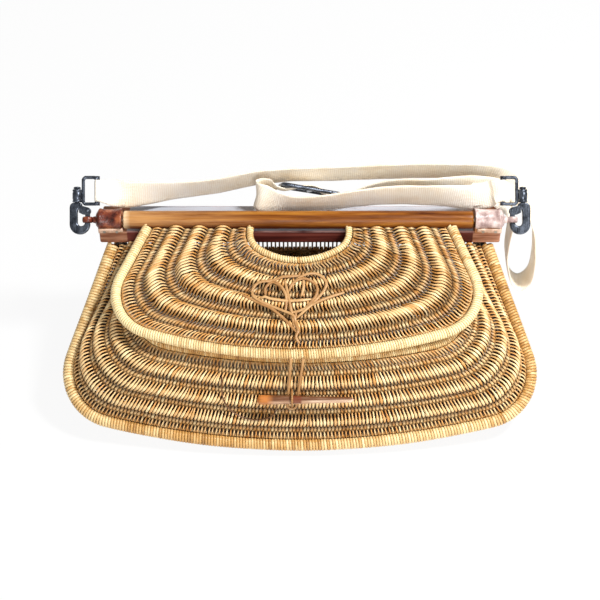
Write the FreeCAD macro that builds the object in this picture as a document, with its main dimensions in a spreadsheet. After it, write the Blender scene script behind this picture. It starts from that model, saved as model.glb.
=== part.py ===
import FreeCAD, Part
import Sketcher
import math
import os

from FreeCAD import Placement, Rotation, Vector

# Wicker fishing creel: a ridged woven basket on a flat board, with a lid on a round bar.
# X runs along the board, -Y is the front, +Z is up. The origin is the middle of the floor.
# Lengths are millimetres and angles are degrees.

doc = FreeCAD.newDocument("creel")
sheet = doc.addObject("Spreadsheet::Sheet", "Sizes")

# Driving sizes
SIZES = {
    # Floor and walls
    "floor_back": 85.0,
    "floor_front": 86.0,
    "floor_in": 21.0,
    "floor_spread": 5.0,
    "floor_corner": 60.0,
    "floor_thick": 4.0,
    "weave_thick": 4.0,
    "seam_gap": 0.2,
    "weave_gap": 0.6,
    # Board across the top of the back
    "board_length": 355.0,
    "board_depth": 38.0,
    "board_thick": 13.0,
    "board_under": 118.0,
    "board_round": 1.5,
    # Border hoop
    "hoop_radius": 5.3,
    "hoop_in": 10.5,
    "hoop_spread": 35.0,
    "hoop_corner": 45.0,
    "hoop_reach": 179.0,
    "hoop_inset": 3.0,
    "hoop_drop": 4.6,
    "hoop_front_height": 9.4,
    # Mouth rim
    "mouth_radius": 3.5,
    "mouth_in": 67.5,
    "mouth_spread": 30.0,
    "mouth_corner": 36.0,
    "mouth_front": 67.0,
    "mouth_drop": 4.0,
    "mouth_front_height": 84.0,
    "mouth_inset": 3.0,
    # Ridges
    "ridge_rise": 2.2,
    "slope_dip": 1.2,
    "side_bulge": 9.0,
    "front_bulge": 2.5,
    "body_rib_radius": 2.2,
    "back_rib_radius": 2.0,
    "back_rib_pitch": 12.0,
    "back_rib_high": 81.0,
    # Lid bar and its ends
    "bar_radius": 8.0,
    "bar_left_in": 22.0,
    "bar_right_in": 25.0,
    "bar_forward": 6.0,
    "bar_gap": 0.4,
    "block_gap": 1.5,
    "pin_radius": 2.5,
    "pin_reach": 20.0,
    "running_gap": 0.05,
    "boss_radius": 8.3,
    "loop_thick": 2.2,
    "loop_waist": 1.2,
    "loop_skirt": 2.6,
    "neck_radius": 4.4,
    "tail_thick": 1.5,
    "tail_height": 5.5,
    "tail_length": 22.0,
    "nail_radius": 1.3,
    "nail_rise": 0.7,
    # Lid
    "lid_in": 42.8,
    "lid_spread": 20.8,
    "lid_gap": 0.72,
    "lid_short": 0.4,
    "lid_corner": 42.0,
    "lid_skew": 4.5,
    "lid_rim_radius": 4.5,
    "slot_half": 43.3,
    "slot_spread": 0.2,
    "slot_reach": 41.0,
    "slot_corner": 20.0,
    "slot_rim_radius": 3.2,
    "lid_rib_radius": 2.0,
    # Latch
    "peg_length": 82.0,
    "peg_thick_radius": 4.2,
    "peg_thin_radius": 2.3,
    "peg_left": 36.5,
    "peg_down": 31.5,
    "cane_radius": 1.3,
    "hasp_half": 3.9,
    "hasp_spread": 1.4,
    "hasp_lean": 4.2,
    "hasp_drop": 38.5,
    "keeper_left": 6.8,
    "keeper_gap": 0.4,
    "leash_radius": 0.6,
    "leash_slack": 60.0,
    # Lace on the lid
    "lace_width": 4.0,
    "lace_thick": 1.2,
    "lace_gap": 0.2,
    # Strap
    "strap_width": 25.4,
    "strap_thick": 1.8,
    # Snap hooks
    "neck_length": 3.5,
    "hook_half": 9.0,
    "hook_thick": 5.0,
    "hook_low": 13.0,
    "hook_shoulder": 11.3,
    "hook_head": 15.0,
    "eye_low": 5.6,
    "eye_high": 8.3,
    "spine_inner": 2.0,
    "limb_inner": 4.5,
    "tip_high": 3.0,
    "fork_low": 4.2,
    "gate_thick": 2.4,
    "gate_gap": 0.3,
    "gate_pin_radius": 1.0,
    "gate_pivot": 7.8,
    "barrel_radius": 4.2,
    "barrel_length": 11.5,
    "barrel_out": 2.5,
    "shank_radius": 2.0,
    "button_radius": 3.3,
    "button_thick": 2.0,
    "frame_bar": 3.0,
    "frame_inner": 16.0,
    "frame_low": 12.3,
    "frame_high": 38.8,
    "eye_hole": 3.3,
    "eye_wall": 1.5,
    "eye_height": 5.6,
    # Slide buckle
    "buckle_length": 54.0,
    "buckle_width": 31.0,
    "buckle_thick": 3.4,
    "buckle_bar": 4.5,
    "buckle_round": 1.2,
    "buckle_right": 9.0,
    "buckle_back": 31.0,
    "buckle_rise": 9.5,
    "buckle_clear": 0.25,
}
ANGLES = {
    "hook_angle": 41.0,
    "buckle_tilt_angle": 139.0,
    "buckle_dip_angle": 12.0,
}
# How far along each outline its round corners are centred
CORNER_SHARES = {"hoop": 0.6416, "floor": 0.5456, "mouth": 0.5987, "lid": 0.5093, "slot": 0.15}
# How far a square-ended rim is held off the bar, as a share of its radius
RIM_FLARE_SHARE = 0.4
SLOT_FLARE_SHARE = 0.15
RIDGES = 4
ROWS = 2 * RIDGES

for row, (alias, value) in enumerate({**SIZES, **ANGLES}.items(), 1):
    sheet.set(f"A{row}", alias)
    sheet.set(f"B{row}", str(value))
    sheet.setAlias(f"B{row}", alias)
doc.recompute()


def size(alias):
    return float(sheet.get(alias))


def cell(alias):
    return "Sizes." + alias


PARTS = []


def keep(obj, name):
    """Name a finished sub-part."""
    obj.Label = name
    PARTS.append(obj)
    return obj


def feature(name, shape):
    """A sub-part whose form is worked out here."""
    obj = doc.addObject("Part::Feature", name)
    obj.Shape = shape
    return keep(obj, name)


# Places worked out from the sizes
board_top = size("board_under") + size("board_thick")
board_front = size("floor_back") - size("board_depth")
bar_y = board_front + size("bar_forward")
bar_z = board_top + size("bar_gap") + size("bar_radius")
lean = math.radians(size("hook_angle"))
half_board = size("board_length") / 2
bar_ends = {-1: half_board - size("bar_left_in"), 1: half_board - size("bar_right_in")}
hoop_half = half_board - size("hoop_in")
floor_half = hoop_half - size("floor_in")
eye_in = (size("hook_half") + size("limb_inner")) / 2
hook_x = half_board + size("loop_thick") + size("neck_length") + size("eye_wall") / 2
hook_x += size("eye_hole") + eye_in

# The lid lies on the mouth's front edge and ends a little short of it
front_run = bar_y + size("mouth_front")
front_fall = bar_z - size("mouth_front_height")
lid_above = size("lid_rim_radius") + size("mouth_radius") + size("lid_gap")
front_way = math.hypot(front_run, front_fall)
slope = math.atan2(front_fall, front_run) - math.asin(lid_above / front_way)
lid_reach = math.sqrt(front_way**2 - lid_above**2) - size("lid_short")

# The same places as expressions
BOARD_TOP = "(Sizes.board_under + Sizes.board_thick)"
BOARD_FRONT = "(Sizes.floor_back - Sizes.board_depth)"
BAR_Y = f"({BOARD_FRONT} + Sizes.bar_forward)"
BAR_Z = f"({BOARD_TOP} + Sizes.bar_gap + Sizes.bar_radius)"
LEAN = "(Sizes.hook_angle * 1deg)"
BLOCK_END = "(Sizes.board_length / 2)"
BAR_ENDS = {
    -1: f"({BLOCK_END} - Sizes.bar_left_in)",
    1: f"({BLOCK_END} - Sizes.bar_right_in)",
}
EYE_X = f"({BLOCK_END} + Sizes.loop_thick + Sizes.neck_length + Sizes.eye_wall / 2 + Sizes.eye_hole)"
HOOK_X = f"({EYE_X} + (Sizes.hook_half + Sizes.limb_inner) / 2)"


# U-shaped outlines
def u_outline(start_half, spread, corner, start, front, corner_share):
    """Eleven places on a U: flared sides, round corners and a slightly bowed front."""
    centre_x = start_half + spread - corner
    centre_s = start + (front - start) * corner_share
    run = centre_s - start
    way = math.hypot(spread - corner, run)
    angle = math.atan2(spread - corner, run) + math.asin(corner / way)
    side_half = centre_x + corner * math.cos(angle)
    side_end = centre_s - corner * math.sin(angle)
    drop = front - centre_s
    bow = (centre_x**2 + drop**2 - corner**2) / (2 * (drop - corner))
    bow_s = front - bow
    meet = math.atan2(centre_x, centre_s - bow_s)
    turn = (math.pi / 2 + angle + meet) / 2
    middle = Vector(centre_x + corner * math.sin(turn), centre_s + corner * math.cos(turn), 0)
    right = [
        Vector(start_half, start, 0),
        Vector(side_half, side_end, 0),
        middle,
        Vector(centre_x + corner * math.sin(meet), centre_s + corner * math.cos(meet), 0),
        Vector(bow * math.sin(meet / 2), bow_s + bow * math.cos(meet / 2), 0),
        Vector(0, front, 0),
    ]
    left = [Vector(-p.x, p.y, 0) for p in right[:-1]]
    return left + right[::-1]


def on_plane(outline, y, z, angle, skew=0.0):
    """Lay an outline on a plane that falls towards the front from a line along X."""
    reach = outline[5].y
    placed = []
    for p in outline:
        x = p.x - skew * p.y / reach
        placed.append(Vector(x, y - p.y * math.cos(angle), z - p.y * math.sin(angle)))
    return placed


def blend(first, second, share):
    return [a + (b - a) * share for a, b in zip(first, second)]


def tangent(outline, i):
    """Direction of an outline at a place; its two ends are straight."""
    before, after = {0: (0, 1), 1: (0, 1), 9: (9, 10), 10: (9, 10)}.get(i, (i - 1, i + 1))
    return (outline[after] - outline[before]).normalize()


def towards(first, second, distance):
    """Move each place of the first outline towards the second, a distance off its line."""
    moved = []
    for i, (a, b) in enumerate(zip(first, second)):
        way = (b - a).normalize()
        moved.append(a + way * (distance / way.cross(tangent(first, i)).Length))
    return moved


def u_edges(points):
    """Side, corner, half front, half front, corner, side."""
    edges = [Part.LineSegment(points[0], points[1]).toShape()]
    for first in (1, 3, 5, 7):
        edges.append(Part.Arc(*points[first : first + 3]).toShape())
    edges.append(Part.LineSegment(points[9], points[10]).toShape())
    return edges


def solid_from(faces):
    shell = Part.makeShell(faces)
    shell.sewShape()
    solid = Part.makeSolid(shell)
    if solid.Volume < 0:
        solid.reverse()
    return solid


def banded_shell(outer, inner, edges_of=u_edges):
    """A woven wall between matching rows of outlines on its outer and inner side."""
    faces = []
    rows = [[edges_of(row) for row in side] for side in (outer, inner)]
    for side in rows:
        for low, high in zip(side, side[1:]):
            faces += [Part.makeRuledSurface(a, b) for a, b in zip(low, high)]
    for last in (0, -1):
        faces += [Part.makeRuledSurface(a, b) for a, b in zip(rows[0][last], rows[1][last])]
    for end in (0, -1):
        for k in range(len(outer) - 1):
            a = Part.LineSegment(outer[k][end], outer[k + 1][end]).toShape()
            b = Part.LineSegment(inner[k][end], inner[k + 1][end]).toShape()
            faces.append(Part.makeRuledSurface(a, b))
    return solid_from(faces)


def tube(points, radius):
    """A round rod bent along an outline."""
    wire = Part.Wire(u_edges(points))
    start = wire.Edges[0]
    direction = start.tangentAt(start.FirstParameter)
    ring = Part.Wire(Part.makeCircle(radius, points[0], direction))
    return wire.makePipeShell([ring], True, False)


# Outlines of hoop, mouth and floor
hoop_y = board_front + size("hoop_inset")
hoop_z = size("board_under") - size("hoop_drop")
hoop_angle = math.asin((hoop_z - size("hoop_front_height")) / size("hoop_reach"))
hoop_plan = u_outline(
    hoop_half,
    size("hoop_spread"),
    size("hoop_corner"),
    0,
    size("hoop_reach"),
    CORNER_SHARES["hoop"],
)
hoop = on_plane(hoop_plan, hoop_y, hoop_z, hoop_angle)

mouth_y = board_front + size("mouth_inset")
mouth_z = size("board_under") - size("mouth_drop")
mouth_run = mouth_y + size("mouth_front")
mouth_fall = mouth_z - size("mouth_front_height")
mouth_angle = math.atan2(mouth_fall, mouth_run)
mouth_plan = u_outline(
    half_board - size("mouth_in"),
    size("mouth_spread"),
    size("mouth_corner"),
    0,
    math.hypot(mouth_run, mouth_fall),
    CORNER_SHARES["mouth"],
)
mouth = on_plane(mouth_plan, mouth_y, mouth_z, mouth_angle)

floor_start = size("floor_back") - size("weave_thick")
floor_plan = u_outline(
    floor_half,
    size("floor_spread"),
    size("floor_corner"),
    0,
    floor_start + size("floor_front"),
    CORNER_SHARES["floor"],
)


def clear_tube(points, radius):
    """The space that a wall leaves for a rod bent along an outline."""
    return tube(points, radius + size("seam_gap"))


half_weave = size("weave_thick") / 2
collar_low = towards(hoop, mouth, size("hoop_radius") + size("weave_gap"))
collar_high = towards(mouth, hoop, size("mouth_radius") + size("weave_gap"))


def collar_directions():
    """The outward direction of the collar at each place of its outlines."""
    found = []
    for i, (a, b) in enumerate(zip(collar_low, collar_high)):
        found.append(tangent(collar_low, i).cross(b - a).normalize())
    return found


collar_normals = collar_directions()
# How far each place swells, from the middle of the front to the back of the sides
SWELL_SHARES = [0.3, 1.0, 1.0, 0.6, 0.2, 0.0, 0.2, 0.6, 1.0, 1.0, 0.3]


def collar_row(share, lift):
    """Outline at a share of the way from hoop to mouth, lifted off the swelling wall."""
    bulge = 4 * share * (1 - share)
    spread = size("side_bulge") - size("front_bulge")
    row = []
    for p, n, swell in zip(blend(collar_low, collar_high, share), collar_normals, SWELL_SHARES):
        row.append(p + n * ((size("front_bulge") + spread * swell) * bulge + lift))
    return row


def ridge_lift(step):
    """Crests on the even rows, hollows on the odd ones, none at the rims."""
    if step in (0, ROWS):
        return 0.0
    return size("ridge_rise") * math.cos(math.pi * step)


# Rims, rows and the slopes between rows, where the strands draw together
STEPS = [0] + [k / 2 for k in range(2, 2 * ROWS - 1)] + [ROWS]


def outer_lift(step):
    """Height of the outer skin at a step."""
    low = step in (0, ROWS) or step % 1 > 0
    return ridge_lift(step) + half_weave - (size("slope_dip") if low else 0.0)


def inner_lift(step):
    return ridge_lift(step) - half_weave


def rib_row(rows, k, radius):
    """Places for a rib under crest k that clear both slopes of the weave."""
    places = []
    reach = half_weave + size("weave_gap") + radius
    for i, (low, crest, high) in enumerate(zip(rows[k - 1], rows[k], rows[k + 1])):
        along = tangent(rows[k], i)
        slopes = [p - crest for p in (low, high)]
        slopes = [(slope - along * slope.dot(along)).normalize() for slope in slopes]
        inner = (slopes[0] + slopes[1]).normalize()
        places.append(crest + inner * (reach / math.sin(inner.getAngle(slopes[0]))))
    return places


# Front weave: ridged collar from the border hoop up to the mouth
collar_middle = [collar_row(k / ROWS, ridge_lift(k)) for k in range(ROWS + 1)]
collar_outer = [collar_row(step / ROWS, outer_lift(step)) for step in STEPS]
collar_inner = [collar_row(step / ROWS, inner_lift(step)) for step in STEPS]
feature("front_weave", banded_shell(collar_outer, collar_inner))

rib_radius = size("body_rib_radius")
ribs = [tube(rib_row(collar_middle, k, rib_radius), rib_radius) for k in range(2, ROWS, 2)]
feature("body_ribs", Part.makeCompound(ribs))
feature("border_hoop", tube(hoop, size("hoop_radius")))
feature("mouth_rim", tube(mouth, size("mouth_radius")))


# Side weave: the lower wall from the floor up to the hoop and the board
def wall_edges(points):
    """Two straight stretches behind each end of the hoop, and the U between them."""
    first = [Part.LineSegment(points[k], points[k + 1]).toShape() for k in (0, 1)]
    last = [Part.LineSegment(points[k], points[k + 1]).toShape() for k in (-3, -2)]
    return first + u_edges(points[2:-2]) + last


def mirrored(p):
    return Vector(-p.x, p.y, p.z)


def inward(points, distance):
    """Move places level towards the middle of the floor."""
    moved = []
    last = len(points) - 1
    for i, p in enumerate(points):
        before = points[max(i - 1, 0)]
        after = points[min(i + 1, last)]
        along = Vector(after.x - before.x, after.y - before.y, 0)
        side = Vector(-along.y, along.x, 0).normalize()
        if side.dot(Vector(-p.x, -p.y, 0)) < 0:
            side = side * -1
        if i in (0, 1, last - 1, last):
            side = Vector(-math.copysign(1, p.x), 0, 0)
        moved.append(p + side * distance)
    return moved


thick = size("weave_thick")
under = size("hoop_radius") + size("seam_gap")
top_line = size("board_under") - size("seam_gap")
floor_top = size("floor_thick") + size("seam_gap")
behind_hoop = hoop_y + under
wall_top = [Vector(p.x, p.y, p.z - under / 2) for p in hoop]
top_back = [Vector(hoop[0].x, y, top_line) for y in (floor_start, behind_hoop)]
wall_top = top_back + wall_top + [mirrored(p) for p in top_back[::-1]]
foot = on_plane(floor_plan, floor_start, floor_top, 0.0)
foot_run = foot[1] - foot[0]
foot_back = [
    foot[0] + foot_run * ((floor_start - y) / (floor_start - foot[1].y))
    for y in (floor_start, behind_hoop, hoop_y)
]
wall_low = foot_back + foot[1:-1] + [mirrored(p) for p in foot_back[::-1]]
outer_rows = [wall_low, wall_top]
inner_rows = [inward(wall_low, thick), inward(wall_top, thick)]
side_wall = banded_shell(outer_rows, inner_rows, wall_edges)
feature("side_weave", side_wall.cut(clear_tube(hoop, size("hoop_radius"))))


# Floor and back
def floor_shape():
    outline = on_plane(floor_plan, floor_start, 0.0, 0.0)
    edges = u_edges(outline)
    edges.append(Part.LineSegment(outline[-1], outline[0]).toShape())
    face = Part.Face(Part.Wire(edges))
    return face.extrude(Vector(0, 0, size("floor_thick")))


feature("base_weave", floor_shape())


def back_shape():
    points = [
        Vector(-floor_half, floor_start, 0),
        Vector(floor_half, floor_start, 0),
        Vector(hoop_half, floor_start, top_line),
        Vector(-hoop_half, floor_start, top_line),
    ]
    face = Part.Face(Part.makePolygon(points + points[:1]))
    return face.extrude(Vector(0, thick, 0))


feature("back_weave", back_shape())


def back_ribs():
    """Rods across the inside of the back."""
    radius = size("back_rib_radius")
    y = floor_start - radius - size("seam_gap")
    rods = []
    z = size("back_rib_high")
    while z > floor_top + radius:
        half = floor_half + (hoop_half - floor_half) * z / top_line - thick - radius
        rods.append(Part.makeCylinder(radius, 2 * half, Vector(-half, y, z), Vector(1, 0, 0)))
        z -= size("back_rib_pitch")
    return Part.makeCompound(rods)


feature("back_ribs", back_ribs())

# Board and the fixed fittings at its ends
def place(obj, x, y, z):
    for axis, value in zip("xyz", (x, y, z)):
        obj.setExpression("Placement.Base." + axis, value)


def box(name, low, lengths):
    """A block given by its lowest corner and its three lengths, as expressions."""
    obj = doc.addObject("Part::Box", name)
    for prop, value in zip(("Length", "Width", "Height"), lengths):
        obj.setExpression(prop, value)
    place(obj, *low)
    return obj


def cylinder(name, radius, length, start, turn=None):
    """A round bar from its start, along +Z unless turned."""
    obj = doc.addObject("Part::Cylinder", name)
    obj.setExpression("Radius", radius)
    obj.setExpression("Height", length)
    if turn:
        obj.Placement = Placement(Vector(), turn)
    place(obj, *start)
    return obj


ALONG_X = Rotation(Vector(0, 1, 0), 90)
ALONG_Y = Rotation(Vector(1, 0, 0), -90)


def fuse(name, pieces):
    obj = doc.addObject("Part::MultiFuse", name)
    obj.Shapes = pieces
    obj.Refine = True
    return obj


def cut(name, base, tool):
    obj = doc.addObject("Part::Cut", name)
    obj.Base = base
    obj.Tool = tool
    obj.Refine = True
    return obj


def back_board():
    """A flat board with eased edges."""
    body = doc.addObject("PartDesign::Body", "back_board")
    plane = [o for o in body.Origin.OriginFeatures if o.Role == "XY_Plane"][0]
    sketch = body.newObject("Sketcher::SketchObject", "board_outline")
    sketch.AttachmentSupport = (plane, [""])
    sketch.MapMode = "FlatFace"
    half = half_board
    back = size("floor_back")
    corners = [
        Vector(-half, board_front, 0),
        Vector(half, board_front, 0),
        Vector(half, back, 0),
        Vector(-half, back, 0),
    ]
    for k in range(4):
        sketch.addGeometry(Part.LineSegment(corners[k], corners[(k + 1) % 4]), False)
    for k in range(4):
        sketch.addConstraint(Sketcher.Constraint("Coincident", k, 2, (k + 1) % 4, 1))
    for k, kind in enumerate(("Horizontal", "Vertical", "Horizontal", "Vertical")):
        sketch.addConstraint(Sketcher.Constraint(kind, k))
    drives = [
        ("DistanceX", 0, 1, -1, 1, half, "Sizes.board_length / 2"),
        ("DistanceX", 0, 1, 0, 2, 2 * half, cell("board_length")),
        ("DistanceY", -1, 1, 0, 1, board_front, BOARD_FRONT),
        ("DistanceY", 0, 2, 2, 1, back - board_front, cell("board_depth")),
    ]
    for kind, a, b, c, d, value, expression in drives:
        index = sketch.addConstraint(Sketcher.Constraint(kind, a, b, c, d, value))
        sketch.setExpression(f"Constraints[{index}]", expression)
    pad = body.newObject("PartDesign::Pad", "board_pad")
    pad.Profile = sketch
    pad.setExpression("Length", cell("board_thick"))
    doc.recompute()
    fillet = body.newObject("PartDesign::Fillet", "board_edges")
    fillet.Base = (pad, [f"Edge{k + 1}" for k in range(len(pad.Shape.Edges))])
    fillet.setExpression("Radius", cell("board_round"))
    body.Tip = fillet
    body.setExpression("Placement.Base.z", cell("board_under"))
    doc.recompute()
    return body


keep(back_board(), "back_board")


def signed(side, expression):
    return expression if side > 0 else f"-({expression})"


def low_end(side, near, far):
    """The lower X of a stretch that runs outwards from near to far."""
    return near if side > 0 else f"-({far})"


def end_fitting(name, side):
    """Block, pin and leather loop at one end of the board."""
    near = f"({BAR_ENDS[side]} + Sizes.block_gap)"
    length = f"({BLOCK_END} - {near})"
    x = low_end(side, near, BLOCK_END)
    width = "2 * Sizes.boss_radius"
    low_y = f"{BAR_Y} - Sizes.boss_radius"
    foot = box(name + "_foot", (x, low_y, BOARD_TOP), (length, width, f"{BAR_Z} - {BOARD_TOP}"))
    boss = cylinder(name + "_boss", cell("boss_radius"), length, (x, BAR_Y, BAR_Z), ALONG_X)
    bore = cylinder(name + "_bore", cell("pin_radius"), length, (x, BAR_Y, BAR_Z), ALONG_X)
    block = cut(name + "_block", fuse(name + "_blank", [foot, boss]), bore)
    keep(block, name + "_end_block")
    pin_start = f"({BAR_ENDS[side]} - Sizes.pin_reach)"
    pin_length = f"({BLOCK_END} - {pin_start})"
    pin_x = low_end(side, pin_start, BLOCK_END)
    pin = cylinder(name + "_pin", cell("pin_radius"), pin_length, (pin_x, BAR_Y, BAR_Z), ALONG_X)
    keep(pin, name + "_hinge_pin")
    tail_x = low_end(side, f"({BLOCK_END} - Sizes.tail_length)", BLOCK_END)
    tail_y = f"{BAR_Y} - Sizes.boss_radius - Sizes.tail_thick"
    tail_size = (cell("tail_length"), cell("tail_thick"), cell("tail_height"))
    keep(box(name + "_tail", (tail_x, tail_y, BOARD_TOP), tail_size), name + "_tail")
    loop_shape(name, side)


def loop_shape(name, side):
    """A waisted leather sleeve over the block, drawn in to an eye for the hook."""
    end = half_board
    near = bar_ends[side] + size("block_gap")
    inner = size("boss_radius")
    outer = inner + size("loop_thick")
    waist = inner + size("loop_waist")
    close = end + size("loop_thick")
    neck = size("neck_radius")
    profile = [
        Part.LineSegment(Vector(near, inner, 0), Vector(near, outer, 0)),
        Part.Arc(
            Vector(near, outer, 0),
            Vector((near + end) / 2, waist, 0),
            Vector(end, outer, 0),
        ),
        Part.LineSegment(Vector(end, outer, 0), Vector(close, neck, 0)),
        Part.LineSegment(Vector(close, neck, 0), Vector(close, 0, 0)),
        Part.LineSegment(Vector(close, 0, 0), Vector(end, 0, 0)),
        Part.LineSegment(Vector(end, 0, 0), Vector(end, inner, 0)),
        Part.LineSegment(Vector(end, inner, 0), Vector(near, inner, 0)),
    ]
    face = Part.Face(Part.Wire([edge.toShape() for edge in profile]))
    sleeve = face.revolve(Vector(), Vector(1, 0, 0), 360)
    depth = outer + size("loop_thick")
    length = close - near
    skirt = size("loop_skirt")
    below = Part.makeBox(length, 2 * depth, depth, Vector(near, -depth, -depth - skirt))
    foot = Part.makeBox(end - near, 2 * inner, depth, Vector(near, -inner, -depth))
    sleeve = sleeve.cut(below).cut(foot)
    eye_x = hook_x - eye_in
    wall = size("eye_hole") + size("eye_wall")
    tall = size("eye_height")
    eye = Part.makeCylinder(wall, tall, Vector(eye_x, 0, -tall / 2))
    neck_start = Vector(close, 0, 0)
    neck_bar = Part.makeCone(neck, tall / 2, size("neck_length"), neck_start, Vector(1, 0, 0))
    hole = Part.makeCylinder(size("eye_hole"), tall, Vector(eye_x, 0, -tall / 2))
    eye.rotate(Vector(), Vector(1, 0, 0), -size("hook_angle"))
    hole.rotate(Vector(), Vector(1, 0, 0), -size("hook_angle"))
    whole = sleeve.fuse([neck_bar, eye]).cut(hole).removeSplitter()
    if side < 0:
        whole = whole.mirror(Vector(), Vector(1, 0, 0))
    whole.translate(Vector(0, bar_y, bar_z))
    feature(name + "_loop", whole)


end_fitting("left", -1)
end_fitting("right", 1)


def tail_nails():
    nails = []
    radius = size("nail_radius")
    y = bar_y - size("boss_radius") - size("tail_thick")
    z = board_top + size("tail_height") / 2
    reach = half_board - size("tail_length") / 4
    for x in (-reach, reach):
        for inner in (0, size("tail_length") / 2):
            place_x = x - math.copysign(inner, x)
            nails.append(
                Part.makeCylinder(radius, size("nail_rise"), Vector(place_x, y, z), Vector(0, -1, 0))
            )
    return Part.makeCompound(nails)


feature("tail_nails", tail_nails())


# Lid
def lid_place(points, rise):
    """Places on the lid, from across and down-slope to the object's frame."""
    return [
        Vector(
            p.x,
            bar_y - p.y * math.cos(slope) - rise * math.sin(slope),
            bar_z - p.y * math.sin(slope) + rise * math.cos(slope),
        )
        for p in points
    ]


def skewed(outline):
    """The lid's front edge sits a little to the left."""
    return [Vector(p.x - size("lid_skew") * p.y / lid_reach, p.y, 0) for p in outline]


def run_back(outline, start):
    """Both straight ends of an outline, run along to a distance from the bar's middle."""
    placed = list(outline)
    for end, near in ((0, 1), (-1, -2)):
        way = outline[near] - outline[end]
        placed[end] = outline[end] + way * ((start - outline[end].y) / way.y)
    return placed


# The lid's pieces butt against the round of the bar
bar_edge = size("bar_radius") + size("seam_gap")
lid_half = half_board - size("lid_in")
rim_plan = skewed(
    u_outline(
        lid_half,
        size("lid_spread"),
        size("lid_corner"),
        bar_edge + size("lid_rim_radius") * RIM_FLARE_SHARE,
        lid_reach,
        CORNER_SHARES["lid"],
    )
)
slot_plan = skewed(
    u_outline(
        size("slot_half"),
        size("slot_spread"),
        size("slot_corner"),
        bar_edge + size("slot_rim_radius") * SLOT_FLARE_SHARE,
        size("slot_reach"),
        CORNER_SHARES["slot"],
    )
)
lid_low = towards(slot_plan, rim_plan, size("slot_rim_radius") + size("weave_gap"))
lid_high = towards(rim_plan, slot_plan, size("lid_rim_radius") + size("weave_gap"))
lid_low = run_back(lid_low, bar_edge)
lid_high = run_back(lid_high, bar_edge)


def lid_row(k, lift):
    return lid_place(blend(lid_low, lid_high, k / ROWS), lift)


lid_top = [lid_row(step, outer_lift(step)) for step in STEPS]
lid_under = [lid_row(step, inner_lift(step)) for step in STEPS]
feature("lid_weave", banded_shell(lid_top, lid_under))



def shortened(places, distance):
    """A rod's places with both ends drawn in."""
    placed = list(places)
    for end, near in ((0, 1), (-1, -2)):
        placed[end] = places[end] + (places[near] - places[end]).normalize() * distance
    return placed


rib_radius = size("lid_rib_radius")
lid_middle = [lid_row(k, ridge_lift(k)) for k in range(ROWS + 1)]
lid_ribs = []
for k in range(2, ROWS, 2):
    rib = shortened(rib_row(lid_middle, k, rib_radius), rib_radius * RIM_FLARE_SHARE)
    lid_ribs.append(tube(rib, rib_radius))
feature("lid_ribs", Part.makeCompound(lid_ribs))
feature("lid_rim", tube(lid_place(rim_plan, 0), size("lid_rim_radius")))
feature("slot_rim", tube(lid_place(slot_plan, 0), size("slot_rim_radius")))


def hinge_bar():
    """The round bar that the lid turns with, bored at both ends for the pins."""
    length = f"({BAR_ENDS[-1]} + {BAR_ENDS[1]})"
    start = (f"-{BAR_ENDS[-1]}", BAR_Y, BAR_Z)
    rod = cylinder("bar_rod", cell("bar_radius"), length, start, ALONG_X)
    bore = "Sizes.pin_radius + Sizes.running_gap"
    reach = "(Sizes.pin_reach + Sizes.block_gap)"
    left = cylinder("bar_bore_left", bore, reach, start, ALONG_X)
    right_start = (f"{BAR_ENDS[1]} - {reach}", BAR_Y, BAR_Z)
    right = cylinder("bar_bore_right", bore, reach, right_start, ALONG_X)
    return cut("hinge_bar", rod, fuse("bar_bores", [left, right]))


keep(hinge_bar(), "hinge_bar")


def lace_knot():
    """Flat cane laced over the ridges in two loops and crossing tails."""
    width = size("lace_width")
    thin = size("lace_thick")
    reach = lid_reach
    half = lid_half + size("lid_spread")
    level = size("ridge_rise") + half_weave + size("lace_gap")
    pieces = []
    # Shares of the lid's half width and of its length
    loop_shares = [(-0.142, 0.553, 0.081), (0.05, 0.553, 0.103)]
    strip_shares = [
        (-0.22, 0.65, 0.08, 0.65, 1),
        (-0.32, 0.57, -0.02, 0.86, 2),
        (0.35, 0.59, 0.0, 0.75, 2),
        (-0.085, 0.5, -0.03, 0.95, 3),
    ]
    for x, s, r in loop_shares:
        ring = Part.makeCylinder(r * half + width / 2, thin, Vector(x * half, s * reach, level))
        hole = Part.makeCylinder(r * half - width / 2, thin, Vector(x * half, s * reach, level))
        pieces.append(ring.cut(hole))
    for x1, s1, x2, s2, layer in strip_shares:
        a = Vector(x1 * half, s1 * reach, 0)
        b = Vector(x2 * half, s2 * reach, 0)
        strip = Part.makeBox((b - a).Length, width, thin, Vector(0, -width / 2, 0))
        strip.rotate(Vector(), Vector(0, 0, 1), math.degrees(math.atan2(b.y - a.y, b.x - a.x)))
        strip.translate(Vector(a.x, a.y, level))
        pieces.append(strip)
    flat = pieces[0].fuse(pieces[1:]).removeSplitter()
    turned = flat.mirror(Vector(), Vector(0, 1, 0))
    turned.rotate(Vector(), Vector(1, 0, 0), math.degrees(slope))
    turned.translate(Vector(0, bar_y, bar_z))
    return turned


feature("lace_knot", lace_knot())

# Latch on the front wall
wall_run = hoop[5] - mouth[5]
wall_down = wall_run * (1 / wall_run.Length)
wall_out = Vector(0, wall_down.z, -wall_down.y)
wall_skin = size("front_bulge") + size("ridge_rise") + half_weave
keeper_x = -size("keeper_left")
peg_taper = (size("peg_thick_radius") - size("peg_thin_radius")) / size("peg_length")
peg_at_keeper = size("peg_thick_radius") - peg_taper * (size("peg_left") + keeper_x)
hasp_level = wall_skin + size("cane_radius") + size("seam_gap")
peg_at_hasp = peg_at_keeper + peg_taper * (size("hasp_half") + size("hasp_spread"))
peg_level = hasp_level + size("cane_radius") + 3 * size("seam_gap") + peg_at_hasp


def on_wall(x, down, out):
    """A place by the middle of the front wall: across, down from the mouth and out."""
    return Vector(x, mouth[5].y, mouth[5].z) + wall_down * down + wall_out * out


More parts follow.
